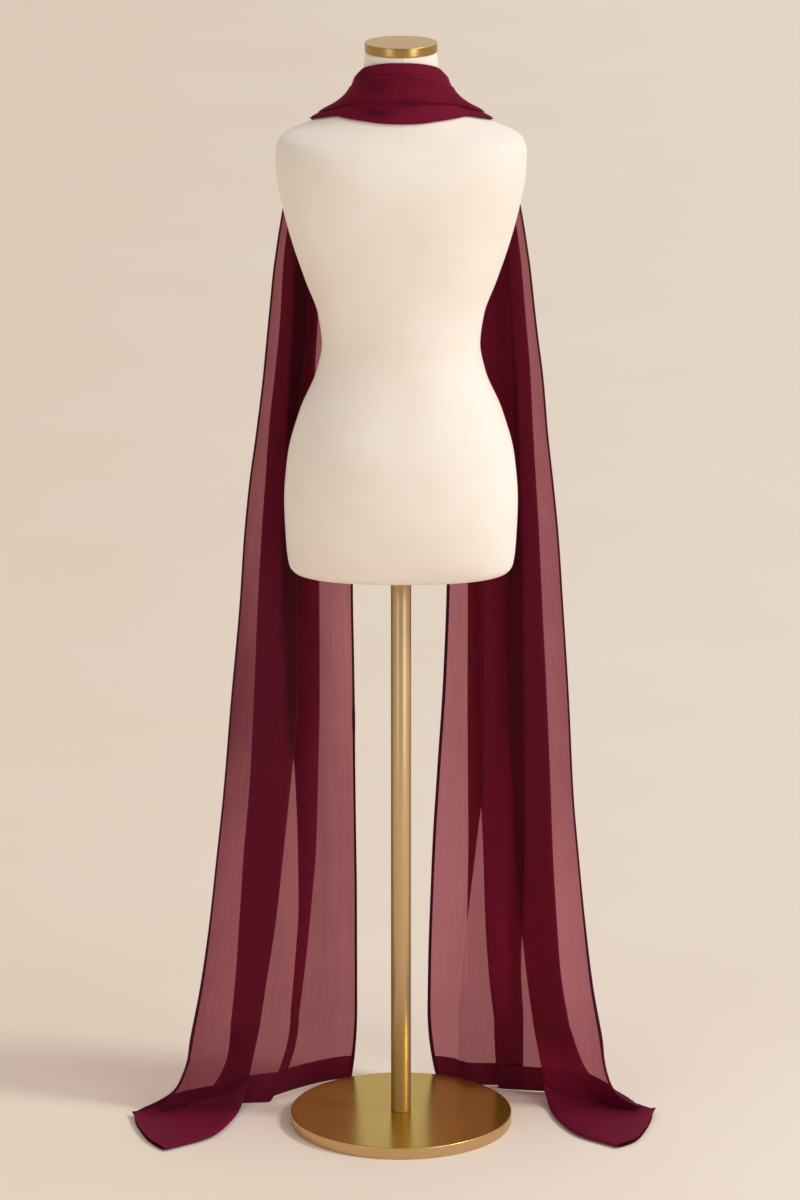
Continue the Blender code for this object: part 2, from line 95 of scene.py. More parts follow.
def tableCurves(table, columns):
    return [curveThrough([row[0] for row in table], [row[k] for row in table]) for k in columns]


def newPiece(name, bm):
    mesh = bpy.data.meshes.new(name)
    bm.to_mesh(mesh)
    bm.free()
    obj = bpy.data.objects.new(name, mesh)
    bpy.context.scene.collection.objects.link(obj)
    return obj


def closeSkin(bm, ends=False):  # joins the seam of a closed skin and turns its faces outwards
    bmesh.ops.remove_doubles(bm, verts=bm.verts, dist=1e-6)
    if ends:
        bmesh.ops.holes_fill(bm, edges=[e for e in bm.edges if e.is_boundary], sides=0)
    bmesh.ops.recalc_face_normals(bm, faces=bm.faces)


def closePiece(obj, ends=False):
    bm = bmesh.new()
    bm.from_mesh(obj.data)
    closeSkin(bm, ends)
    bm.to_mesh(obj.data)
    bm.free()
    return obj


# the dress form's own surface, which the scarf lies on

form = {
    "bottom": 0.860,
    "top": 1.6357,
    # height, half width, depth in front, depth behind, squareness of the level section
    "sections": (
        (0.860, 0.1500, 0.090, 0.076, 2.3),
        (0.8635, 0.1580, 0.097, 0.085, 2.3),
        (0.874, 0.1650, 0.104, 0.095, 2.3),
        (0.915, 0.1695, 0.108, 0.112, 2.3),
        (0.970, 0.1715, 0.108, 0.122, 2.3),
        (1.035, 0.1665, 0.104, 0.119, 2.3),
        (1.105, 0.1480, 0.097, 0.104, 2.25),
        (1.165, 0.1230, 0.090, 0.092, 2.2),
        (1.205, 0.1155, 0.087, 0.088, 2.2),
        (1.250, 0.1210, 0.089, 0.091, 2.2),
        (1.300, 0.1390, 0.097, 0.098, 2.2),
        (1.360, 0.1590, 0.105, 0.105, 2.25),
        (1.417, 0.1735, 0.103, 0.109, 2.3),
        (1.460, 0.1810, 0.093, 0.107, 2.35),
        (1.490, 0.1820, 0.081, 0.101, 2.35),
        (1.509, 0.1765, 0.070, 0.094, 2.3),
        (1.521, 0.1620, 0.061, 0.086, 2.2),
        (1.531, 0.1390, 0.055, 0.079, 2.1),
        (1.541, 0.1130, 0.052, 0.072, 2.05),
        (1.553, 0.0900, 0.0515, 0.066, 2.0),
        (1.568, 0.0725, 0.0530, 0.061, 2.0),
        (1.588, 0.0605, 0.0540, 0.057, 2.0),
        (1.612, 0.0545, 0.0535, 0.054, 2.0),
        (1.6357, 0.0515, 0.0515, 0.0515, 2.0),
    ),
    "bustHeight": 1.335,
    "bustApart": 0.082,
    "bustDepth": 0.033,
    "bustWidth": 0.052,
    "bustRise": 0.058,
}
formCurves = tableCurves(form["sections"], (1, 2, 3, 4))


def formSection(z):
    z = np.clip(z, form["bottom"], form["top"])
    return [curve(z) for curve in formCurves]


def bust(x, z, halfWidth, power):
    inside = np.maximum(0.0, 1.0 - np.abs(x / halfWidth) ** power)
    across = bell((np.abs(x) - form["bustApart"]) / form["bustWidth"])
    upright = bell((z - form["bustHeight"]) / form["bustRise"])
    return form["bustDepth"] * across * upright * np.sqrt(inside)


def formPoint(angle, z):  # angle 0 is the centre back, a half turn the centre front
    halfWidth, front, back, power = formSection(z)
    s, c = np.sin(angle), np.cos(angle)
    x = halfWidth * np.sign(s) * np.abs(s) ** (2 / power)
    behind = -back * np.abs(c) ** (2 / power)
    ahead = front * np.abs(c) ** (2 / power) + bust(x, z, halfWidth, power)
    return np.stack([x, np.where(c > 0, behind, ahead), z + 0.0 * x], axis=-1)


def formNormal(angle, z):
    step = 0.002
    turn = formPoint(angle + step, z) - formPoint(angle - step, z)
    rise = (formPoint(angle, np.minimum(z + step, form["top"]))
            - formPoint(angle, np.maximum(z - step, form["bottom"])))
    normal = np.cross(turn, rise)
    return normal / np.linalg.norm(normal, axis=-1, keepdims=True)


def formFront(x, z):
    z = np.clip(z, form["bottom"], form["top"])
    halfWidth, front, _, power = formSection(z)
    inside = np.maximum(1.0 - np.abs(x / halfWidth) ** power, 0.0)
    depth = front * inside ** (1 / power) + bust(x, z, halfWidth, power)
    return np.where(inside > 0.0, depth, 0.0)


# the scarf: one length of chiffon, from end hem to end hem

scarf = {
    "flatWidth": 0.50,
    "flatLength": 3.60,
    "layers": 7,                # in each fall
    "stepsPerLayer": 18,        # columns from one fold to the next
    "wrapRows": 62,             # rows from the centre back to the front of a shoulder
    "fallRows": 150,
    "toeRows": 46,
    "layer": 0.0048,            # from one pressed layer to the next on the chest
    "foldPower": 7,             # how tightly a layer turns into the next at a fold
    "foldTurn": 2.5,            # how deep the first fold behind the toe swings
    "clear": 0.0048,            # from the form to the first layer on the chest
    "leaveRound": 0.016,        # how softly the cloth leaves the form
    "creaseIn": (0.0, 1 / 3),   # shares of its length in which a crease comes and goes
    "creaseOut": (1.12, 0.92),
    "creaseLayer": 0.02,        # the narrowest layer that a crease is fitted to
    "floorZ": 0.0012,
    "toeTop": 0.120,
    "toeSmooth": 0.240,         # up to here the outer pleat's creases grow from none at its toe
    "toeHalf": 0.0030,          # half of the space between the two layers of its pleat
    "toeSpread": 0.5,           # how far its columns move toward even steps
    "toeStep": 0.02,            # the step in which its slope is measured
    "toeNose": 0.15,            # share of the way across in which its fold is rounded
    "toeLevels": 0.6,           # share of the toe in which it comes down to the floor
    # where the toe's four lines lie, share of the way across
    "toeAcross": (0.0, 0.32, 0.64, 1.0),
}
# round the neck and over a shoulder: shares run from the centre back, 0, to the seam, 1
wrap = {
    "layer": 0.0012,            # from one gathered layer to the next
    "clear": 0.0020,
    "edgeThin": 0.30,           # the gathers lie closer together toward their two edges
    "edgeLayer": 0.35,
    "opensOut": (0.0, 0.62),    # the gathers come over the top of the shoulder
    "toFolds": (0.55, 1.0),     # and find the places of the fall's folds
    "toOrder": (0.3, 1.0),      # the layers take their order in the fall
    "toClear": (0.4, 0.7),      # stand off as far
    "layersPart": (0.78, 1.0),  # come apart
    "toSeam": (0.86, 1.0),      # and meet the first row of the fall
    "tierPuff": 0.0026,         # how far the fold across the back of the neck stands out
    "tierAt": (6.0, 0.30),      # its layer and half width
    "tierFades": (0.30, 0.04),
    "standOff": 0.0030,         # how far the top stands off the sides of the neck
    "standOffAt": (0.42, 0.16),  # its share and half width
    "tipAt": (0.56, 0.12),      # where the lower line crosses the shoulder
    "creaseIn": (-0.16, 0.24),  # shares of its length in which a crease comes and goes
    "creaseOut": (1.0, 0.6),
    "seamRounds": 110,          # how far the turn from the wrap into the fall is rounded
    "seamReach": 15.0,
}
leftSide = {
    # height, then outer edge, fold a in, fold a out, fold b in, fold b out, inner edge
    "fall": (
        (1.500, 0.166, 0.090, 0.156, 0.080, 0.143, 0.060),
        (1.450, 0.171, 0.103, 0.160, 0.088, 0.146, 0.058),
        (1.400, 0.176, 0.116, 0.165, 0.098, 0.150, 0.057),
        (1.350, 0.181, 0.126, 0.170, 0.110, 0.154, 0.058),
        (1.290, 0.187, 0.136, 0.174, 0.120, 0.158, 0.060),
        (1.210, 0.195, 0.135, 0.179, 0.123, 0.160, 0.063),
        (1.140, 0.202, 0.143, 0.186, 0.127, 0.165, 0.066),
        (1.060, 0.212, 0.153, 0.195, 0.129, 0.169, 0.069),
        (0.980, 0.223, 0.156, 0.201, 0.127, 0.172, 0.071),
        (0.900, 0.231, 0.154, 0.207, 0.125, 0.175, 0.073),
        (0.800, 0.238, 0.152, 0.213, 0.122, 0.178, 0.074),
        (0.650, 0.252, 0.153, 0.220, 0.122, 0.174, 0.072),
        (0.500, 0.265, 0.1665, 0.228, 0.125, 0.1605, 0.071),
        (0.400, 0.276, 0.177, 0.237, 0.128, 0.157, 0.070),
        (0.300, 0.287, 0.188, 0.244, 0.136, 0.156, 0.069),
        (0.200, 0.301, 0.203, 0.251, 0.146, 0.162, 0.069),
        (0.120, 0.316, 0.215, 0.259, 0.156, 0.169, 0.069),
    ),
    "knots": (0, 1, 2, 3, 4, 7),    # which of the scarf's seven layers each fold ends
    "tipRaise": 0.0016,         # how much higher the lower line crosses this shoulder
    # layer at the start and at the end, shares of the wrap where it starts and ends, width, depth
    "neckCreases": (
        (5.72, 5.60, 0.02, 0.50, 0.07, -0.0022),
        (5.86, 5.78, 0.05, 0.55, 0.05, 0.0016),
        (6.55, 6.42, 0.06, 0.60, 0.16, 0.0018),
        (7.0, 6.95, 0.10, 0.60, 0.20, 0.0012),
    ),
    "depths": (0.00, 0.22, 0.42, 0.60, 0.78, 1.00),
    "floor": ((0.200, 0.080), (0.210, 0.086), (0.079, 0.185)),
    # share of the toe's rows, four lines across it (fold a in, a line down its middle, the foot
    # of the lip, the outer edge), and the share of the way across to fold a out
    "toe": (
        (0.2, (0.226, 0.071, 0.068), (0.258, 0.068, 0.066),
         (0.292, 0.060, 0.064), (0.322, 0.038, 0.085), 0.38),
        (0.4, (0.238, 0.064, 0.016), (0.270, 0.063, 0.015),
         (0.304, 0.057, 0.014), (0.332, 0.034, 0.058), 0.55),
        (0.6, (0.253, 0.000, 0.000), (0.289, 0.020, 0.000),
         (0.326, 0.045, 0.000), (0.344, 0.028, 0.039), 0.78),
        (0.8, (0.280, -0.072, 0.000), (0.318, -0.032, 0.000),
         (0.353, 0.029, 0.000), (0.366, 0.018, 0.026), 0.95),
        (1.0, (0.352, -0.134, 0.000), (0.379, -0.090, 0.000),
         (0.4005, -0.015, 0.000), (0.405, 0.018, 0.000), 0.95),
    ),
    # layers counted from the outer edge, and the share of the toe's rows where the end hem starts
    "hemStart": ((0.0, 0.63), (0.5, 0.40), (1.0, 0.27), (2.0, 0.40), (3.0, 0.66), (4.0, 0.68),
                 (7.0, 0.69)),
    # soft creases: layer and its height at the top end, at the bottom end, width, how deep
    "creases": (
        (0.35, 1.05, 0.52, 0.30, 0.016, 0.0022),
        (0.62, 0.80, 0.40, 0.13, 0.010, -0.0022),
        (1.50, 1.15, 1.45, 0.50, 0.014, 0.0016),
        (2.55, 0.70, 2.40, 0.10, 0.018, 0.0030),
        (3.50, 1.00, 3.55, 0.30, 0.012, 0.0018),
        (4.80, 1.10, 4.60, 0.16, 0.022, 0.0034),
        (5.60, 0.90, 5.75, 0.20, 0.016, -0.0026),
        (6.35, 0.70, 6.20, 0.07, 0.020, 0.0030),
        (6.70, 1.20, 6.62, 0.60, 0.014, -0.0020),
    ),
}
rightSide = {
    "fall": (
        (1.500, 0.170, 0.100, 0.160, 0.088, 0.150, 0.118, 0.090, 0.060),
        (1.450, 0.174, 0.114, 0.163, 0.093, 0.150, 0.118, 0.091, 0.058),
        (1.400, 0.178, 0.132, 0.168, 0.101, 0.152, 0.118, 0.092, 0.057),
        (1.350, 0.184, 0.148, 0.173, 0.108, 0.155, 0.118, 0.094, 0.058),
        (1.290, 0.190, 0.158, 0.178, 0.113, 0.160, 0.117, 0.097, 0.060),
        (1.210, 0.199, 0.162, 0.185, 0.112, 0.165, 0.114, 0.100, 0.062),
        (1.140, 0.208, 0.165, 0.191, 0.111, 0.170, 0.111, 0.105, 0.065),
        (1.060, 0.215, 0.168, 0.195, 0.110, 0.174, 0.107, 0.111, 0.068),
        (0.980, 0.224, 0.171, 0.200, 0.110, 0.177, 0.104, 0.118, 0.071),
        (0.900, 0.232, 0.168, 0.205, 0.111, 0.180, 0.102, 0.122, 0.072),
        (0.800, 0.239, 0.157, 0.210, 0.112, 0.182, 0.100, 0.124, 0.071),
        (0.650, 0.249, 0.158, 0.218, 0.115, 0.184, 0.100, 0.125, 0.066),
        (0.500, 0.257, 0.167, 0.225, 0.119, 0.187, 0.101, 0.125, 0.057),
        (0.400, 0.266, 0.172, 0.229, 0.124, 0.188, 0.102, 0.116, 0.051),
        (0.300, 0.276, 0.180, 0.235, 0.127, 0.186, 0.101, 0.105, 0.047),
        (0.200, 0.288, 0.191, 0.243, 0.133, 0.183, 0.099, 0.094, 0.044),
        (0.120, 0.302, 0.202, 0.256, 0.142, 0.187, 0.098, 0.088, 0.043),
    ),
    "knots": tuple(range(scarf["layers"] + 1)),
    "tipRaise": 0.0010,
    "neckCreases": (
        (5.66, 5.86, 0.04, 0.55, 0.045, -0.0024),
        (5.80, 5.92, -0.10, 0.45, 0.06, 0.0020),
        (6.60, 6.38, -0.05, 0.55, 0.14, -0.0012),
        (6.30, 6.28, 0.10, 0.60, 0.10, 0.0012),
    ),
    "depths": (0.00, 0.22, 0.37, 0.52, 0.66, 0.77, 0.87, 1.00),
    "floor": ((0.150, 0.140), (0.188, 0.149), (0.100, 0.160), (0.090, 0.170), (0.057, 0.190)),
    "toe": (
        (0.2, (0.212, 0.076, 0.066), (0.245, 0.072, 0.064),
         (0.278, 0.062, 0.062), (0.307, 0.039, 0.083), 0.60),
        (0.4, (0.221, 0.068, 0.016), (0.254, 0.066, 0.015),
         (0.291, 0.060, 0.014), (0.315, 0.037, 0.054), 0.85),
        (0.6, (0.233, 0.006, 0.000), (0.270, 0.024, 0.000),
         (0.311, 0.050, 0.000), (0.325, 0.031, 0.037), 0.95),
        (0.8, (0.262, -0.066, 0.000), (0.302, -0.030, 0.000),
         (0.337, 0.040, 0.000), (0.345, 0.022, 0.024), 0.95),
        (1.0, (0.322, -0.122, 0.000), (0.352, -0.092, 0.000),
         (0.3765, -0.012, 0.000), (0.384, 0.034, 0.000), 0.95),
    ),
    "hemStart": ((0.0, 0.72), (0.5, 0.45), (1.0, 0.30), (2.0, 0.45), (3.0, 0.66), (4.0, 0.68),
                 (7.0, 0.70)),
    "creases": (
        (0.40, 1.10, 0.55, 0.35, 0.014, 0.0020),
        (0.70, 0.62, 0.45, 0.12, 0.010, -0.0020),
        (1.45, 1.05, 1.55, 0.30, 0.012, 0.0016),
        (2.50, 0.95, 2.45, 0.35, 0.014, 0.0022),
        (3.40, 0.85, 3.60, 0.15, 0.013, -0.0022),
        (4.60, 0.75, 4.35, 0.12, 0.016, 0.0026),
        (5.50, 1.00, 5.45, 0.60, 0.008, 0.0012),
        (6.30, 0.62, 6.50, 0.10, 0.016, 0.0034),
        (6.75, 0.95, 6.70, 0.35, 0.016, -0.0022),
    ),
}
# how much lower the outer edge lies than the inner edge, by height
foldDrop = tableCurves(((1.500, 0.055), (1.450, 0.045), (1.400, 0.030), (1.350, 0.014),
                        (1.290, 0.0), (1.210, 0.0)), (1,))[0]
# height, depth of the outer edge, depth of the inner edge, share in which the layers hang free
hang = tableCurves((
    (1.500, 0.050, 0.100, 0.0),
    (1.440, 0.048, 0.125, 0.0),
    (1.380, 0.046, 0.145, 0.2),
    (1.320, 0.045, 0.158, 0.6),
    (1.260, 0.045, 0.164, 1.0),
    (1.000, 0.044, 0.168, 1.0),
    (0.600, 0.042, 0.172, 1.0),
    (0.250, 0.040, 0.178, 1.0),
    (0.120, 0.040, 0.183, 1.0),
), (1, 2, 3))
# share of the way from the centre back to the seam, and there the plan angle and height of the
# lower line of the gathered cloth, then of its upper line
wrapPath = tableCurves((
    (0 / 6, 0.0, 1.5422, 0.0, 1.6290),
    (0.4 / 6, 12.0, 1.5425, 11.2, 1.6287),
    (1 / 6, 30.0, 1.5445, 28.0, 1.6270),
    (2 / 6, 60.0, 1.5458, 56.0, 1.620),
    (3 / 6, 88.0, 1.5355, 76.0, 1.611),
    (4 / 6, 129.0, 1.5205, 97.0, 1.598),
    (4.5 / 6, 136.0, 1.506, 110.0, 1.580),
    (5 / 6, 138.0, 1.489, 125.0, 1.560),
    (6 / 6, 113.0, 1.445, 163.5, 1.500),
), (1, 2, 3, 4))
# how far up each fold lies, from the first long edge to the other: at the centre back, and
# above the shoulder
neckFolds = (0.25, 1.00, 0.00, 0.99, 0.01, 0.975, 0.355, 0.80)
shoulderFolds = (0.10, 1.00, 0.00, 0.97, 0.02, 0.95, 0.07, 0.60)

layerSteps = scarf["stepsPerLayer"]
columnCount = scarf["layers"] * layerSteps + 1
layerPlace = np.arange(columnCount) / layerSteps


def columnPlaces(knots):  # for each column, the fold before it and the share of the way to the next
    before, shares = np.zeros(columnCount, int), np.zeros(columnCount)
    for i in range(len(knots) - 1):
        first, last = knots[i] * layerSteps, knots[i + 1] * layerSteps
        count = last - first
        run = np.arange(count + 1)
        before[first:last + 1] = i
        shares[first:last + 1] = (1.0 - np.cos(math.pi * run / count)) / 2.0
    return before, shares


def throughFolds(values, rates, places):  # one coordinate of a section, from fold to fold
    values, rates = np.array(values), np.array(rates)
    i, s = places
    return hermite(values[i], values[i + 1], rates[i], rates[i + 1], s)


def placeRates(xs):
    return knotSlopes(np.arange(len(xs), dtype=float), np.array(xs))


def depthRates(ys):  # no steeper at a fold than keeps the cloth from swinging past it
    steps = np.diff(ys)
    inner = []
    for before, after in zip(steps, steps[1:]):
        limit = 3.0 * min(abs(before), abs(after))
        inner.append(math.copysign(min(1.5 * abs(before + after), limit), before + after))
    return [0.0] + inner + [0.0]


def pressedOrder(places, count):  # how many layers each column is up when they lie pressed
    i, s = places
    swing = (2.0 * s - 1.0) ** scarf["foldPower"]
    swing = np.where((i == 0) & (s < 0.5), 0.0, swing)
    swing = np.where((i == count - 2) & (s > 0.5), 0.0, swing)
    return i + swing / 2.0


def drapedDepth(x, z):
    lying, hanging = formFront(x, z) + scarf["clear"], hang[0](z)
    return (lying + hanging + np.hypot(lying - hanging, scarf["leaveRound"])) / 2


def fallLevel(side, z):  # one level of a fall above its toe
    places = side["places"]
    folds = np.array([float(curve(z)) for curve in side["foldCurves"]])
    drop = float(foldDrop(z))
    outer, inner, free = (float(curve(z)) for curve in hang)
    hung = [outer + (inner - outer) * depth for depth in side["depths"]]
    xs = throughFolds(folds, placeRates(folds), places)
    far = throughFolds(hung, depthRates(hung), places)
    level = z - drop * (xs - folds[-1]) / (folds[0] - folds[-1])
    lying = drapedDepth(xs, level) + scarf["layer"] * side["order"]
    ys = mix(lying, far, free)
    onBust = level > form["bustHeight"] - 2 * form["bustRise"]
    ys = np.where(onBust, np.maximum(ys, lying), ys)
    return np.stack([xs, ys, level + 0.0 * xs], axis=-1)


def toeLines(side, lastRow):  # the toe's four lines, from the last level down to the end hem
    shares = [0.0] + [row[0] for row in side["toe"]]
    front = lastRow[:layerSteps + 1][::-1]
    across = (front[:, 0] - front[0, 0]) / (front[-1, 0] - front[0, 0])
    lines = []
    for k, place in enumerate(scarf["toeAcross"]):
        starts = [float(np.interp(place, across, front[:, c])) for c in range(3)]
        lines.append([curveThrough(shares, [starts[c]] + [row[k + 1][c] for row in side["toe"]])
                      for c in range(3)])
    return lines


def toeSurface(lines, across, q):
    knots = np.array([[float(curve(q)) for curve in line] for line in lines])
    return np.stack([curveThrough(scarf["toeAcross"], knots[:, c])(across) for c in range(3)],
                    axis=-1)


def toeRow(side, lastRow, lines, q):  # one row between the last level, 0, and the end hem, 1
    steps = layerSteps
    n = np.arange(2 * steps + 1)
    start = lastRow[:2 * steps + 1]
    fold = lastRow[steps]
    startAcross = (start[:, 0] - fold[0]) / (lastRow[0][0] - fold[0])
    outStart = startAcross[-1]
    shares = [0.0] + [row[0] for row in side["toe"]]
    outNow = float(curveThrough(shares, [outStart] + [row[5] for row in side["toe"]])(q))
    flat = float(smoothStep(q / scarf["toeLevels"]))
    front = np.where(n <= steps, 1.0, -1.0)
    across = np.where(n > steps, startAcross * outNow / outStart, startAcross)
    even = np.where(n <= steps, 1.0 - n / steps, outNow * (n / steps - 1.0))
    across = mix(across, even, scarf["toeSpread"] * flat)
    step = scarf["toeStep"]
    way = (toeSurface(lines, across, min(q + step, 1.0))
           - toeSurface(lines, across, max(q - step, 0.0)))
    aside = toeSurface(lines, across + step, q) - toeSurface(lines, across - step, q)
    normal = np.cross(way, aside)
    normal /= np.linalg.norm(normal, axis=1, keepdims=True)
    nose = 1.0 - np.minimum(across / scarf["toeNose"], 1.0)
    lift = front * scarf["toeHalf"] * np.sqrt(np.maximum(1.0 - nose * nose, 0.0))
    points = toeSurface(lines, across, q) + normal * (lift * flat)[:, None]
    points += (start - toeSurface(lines, startAcross, 0.0)) * (1.0 - flat)
    points[:, 2] = np.maximum(points[:, 2], scarf["floorZ"] + (scarf["toeHalf"] + lift) * flat)
    level = mix(scarf["toeTop"], scarf["floorZ"], q)
    knots = [points[-1]]
    for k, (x, y) in enumerate(side["floor"]):
        at = lastRow[side["knots"][k + 3] * steps]
        knots.append(np.array([mix(at[0], x, q * q), mix(at[1], y, q), level]))
    xs, ys, zs = np.array(knots).T
    turn, deep = placeRates(xs), depthRates(ys)
    turn[0], deep[0] = 0.0, scarf["foldTurn"] * (ys[1] - ys[0])
    i, s = side["places"]
    rest = (np.maximum(i[2 * steps:] - 2, 0), s[2 * steps:])
    rest[1][0] = 0.0
    back = np.stack([throughFolds(xs, turn, rest), throughFolds(ys, deep, rest),
                     throughFolds(zs, placeRates(zs), rest)], axis=-1)
    return np.concatenate([points, back[1:]])


def crease(side, rows):  # soft folds pressed in by hand, across the layers that hang free
    z = rows[:, :, 2]
    widths = np.abs(np.gradient(rows[:, :, 0], axis=1)) * layerSteps
    layerWidth = np.maximum(widths.mean(axis=0), scarf["creaseLayer"])
    push = np.zeros(z.shape)
    for topLayer, top, lowLayer, low, width, depth in side["creases"]:
        share = (top - z) / (top - low)
        away = (layerPlace - mix(topLayer, lowLayer, share)) * layerWidth / width
        fade = ease(share, *scarf["creaseIn"]) * ease(share, *scarf["creaseOut"])
        push += depth * bell(away) * fade
    return push


def fallRows(side):
    top = side["fall"][0][0]
    shares = np.arange(scarf["fallRows"]) / (scarf["fallRows"] - 1)
    rows = [fallLevel(side, z) for z in top + (scarf["toeTop"] - top) * shares]
    last = rows[-1]
    lines = toeLines(side, last)
    shares = np.arange(1, scarf["toeRows"] + 1) / scarf["toeRows"]
    toe = [toeRow(side, last, lines, q) for q in shares]
    rows = np.array(rows + toe)
    push = crease(side, rows)
    # the pleat that lies on the floor keeps its own shape
    high = ease(rows[:, :, 2], scarf["toeTop"], scarf["toeSmooth"])
    inPleat = np.arange(columnCount) <= 2 * layerSteps + layerSteps // 2
    rows[:, :, 1] += np.where(inPleat, push * high, push)
    return rows


def neckCreases(side, share):  # soft folds pressed in by hand round the neck
    push = np.zeros(columnCount)
    for nearLayer, farLayer, start, end, width, depth in side["neckCreases"]:
        along = (share - start) / (end - start)
        fade = ease(along, *wrap["creaseIn"]) * ease(along, *wrap["creaseOut"])
        push += depth * bell((layerPlace - mix(nearLayer, farLayer, along)) / width) * fade
    return push


def wrapRows(side, seam):  # from the centre back to the seam, where the fall's first row is
    folds = side["fall"][0][1:]
    seamShare = (seam[:, 0] - folds[0]) / (folds[-1] - folds[0])
    centre = columnPlaces(tuple(range(scarf["layers"] + 1)))
    centreShare = throughFolds(neckFolds, placeRates(neckFolds), centre)
    sideShare = throughFolds(shoulderFolds, placeRates(shoulderFolds), centre)
    centreOrder = pressedOrder(centre, scarf["layers"] + 1)
    tierLayer, tierHalf = wrap["tierAt"]
    tier = bell((layerPlace - tierLayer) / tierHalf) * wrap["tierPuff"]

    def near(share, name):
        return bell((share - wrap[name][0]) / wrap[name][1])

    rows = []
    for share in np.arange(scarf["wrapRows"]) / scarf["wrapRows"]:
        lowAngle, low, highAngle, high = (float(curve(share)) for curve in wrapPath)
        low += side["tipRaise"] * near(share, "tipAt")
        t = mix(centreShare, sideShare, ease(share, *wrap["opensOut"]))
        t = mix(t, seamShare, ease(share, *wrap["toFolds"]))
        order = mix(centreOrder, side["order"], ease(share, *wrap["toOrder"]))
        thin = smoothStep((1.0 - np.abs(2.0 * t - 1.0)) / wrap["edgeThin"])
        pitch = wrap["layer"] * mix(wrap["edgeLayer"], 1.0, thin)
        lift = mix(wrap["clear"], scarf["clear"], ease(share, *wrap["toClear"]))
        lift = lift + order * mix(pitch, scarf["layer"], ease(share, *wrap["layersPart"]))
        lift += tier * ease(share, *wrap["tierFades"])
        lift += wrap["standOff"] * t * t * near(share, "standOffAt") + neckCreases(side, share)
        angle, z = np.radians(mix(lowAngle, highAngle, t)), mix(low, high, t)
        lying = formPoint(angle, z) + formNormal(angle, z) * lift[:, None]
        rows.append(mix(lying, seam, ease(share, *wrap["toSeam"])))
    return np.array(rows)


def roundSeam(rows):  # no sharp turn sideways where the wrap becomes the fall
    n = np.arange(len(rows)) - scarf["wrapRows"]
    weight = (np.exp(-(n / wrap["seamReach"]) ** 4))[1:-1, None] / 2.0
    for _ in range(wrap["seamRounds"]):
        x = rows[:, :, 0]
        middle = (x[2:] + x[:-2]) / 2.0
        rows[1:-1, :, 0] += (middle - x[1:-1]) * weight
    return rows


def scarfRows():
    sides = []
    for side in (leftSide, rightSide):
        side["places"] = columnPlaces(side["knots"])
        side["order"] = pressedOrder(side["places"], len(side["knots"]))
        side["foldCurves"] = tableCurves(side["fall"], range(1, len(side["knots"]) + 1))
        fall = fallRows(side)
        sides.append(roundSeam(np.concatenate([wrapRows(side, fall[0]), fall])))
    left, right = sides
    left = left * np.array([-1.0, 1.0, 1.0])
    return np.concatenate([left[:0:-1], right]), len(left) - 1


def clothGrid(name, rows, acrossAt, alongAt):
    # a plain grid laid out on the cloth's own metres, then moved onto its rows of points
    bm = bmesh.new()
    count, width = rows.shape[0] - 1, rows.shape[1] - 1
    layer = bm.loops.layers.uv.new("cloth")
    bmesh.ops.create_grid(bm, x_segments=width, y_segments=count, size=0.5)
    for face in bm.faces:
        for loop in face.loops:
            c = round((loop.vert.co.x + 0.5) * width)
            r = round((loop.vert.co.y + 0.5) * count)
            loop[layer].uv = (acrossAt[c], alongAt[r])
        face.smooth = True
    bm.verts.sort(key=lambda v: (round((v.co.y + 0.5) * count) * (width + 1)
                                 + round((v.co.x + 0.5) * width)))
    for vert, point in zip(bm.verts, rows.reshape(-1, 3)):
        vert.co = Vector(point)
    return newPiece(name, bm)


rows, middleRow = scarfRows()
acrossSteps = np.linalg.norm(np.diff(rows, axis=1), axis=2).mean(axis=0)
alongSteps = np.linalg.norm(np.diff(rows, axis=0), axis=2).mean(axis=1)
acrossAt = np.concatenate(([0.0], np.cumsum(acrossSteps)))
alongAt = np.concatenate(([0.0], np.cumsum(alongSteps)))
print("cloth width %.3f, length %.3f" % (acrossAt[-1], alongAt[-1]))
chiffonSheet = clothGrid("scarf_chiffon", rows, acrossAt, alongAt)


def paintCloth(obj, name, values):  # one number for each point of a cloth grid
    attribute = obj.data.attributes.new(name, "FLOAT", "POINT")
    attribute.data.foreach_set("value", np.asarray(values, float).ravel())


placeOf, depthOf, heightOf = rows[:, :, 0], rows[:, :, 1], rows[:, :, 2]
leftHalf = (np.arange(len(rows)) < middleRow)[:, None]

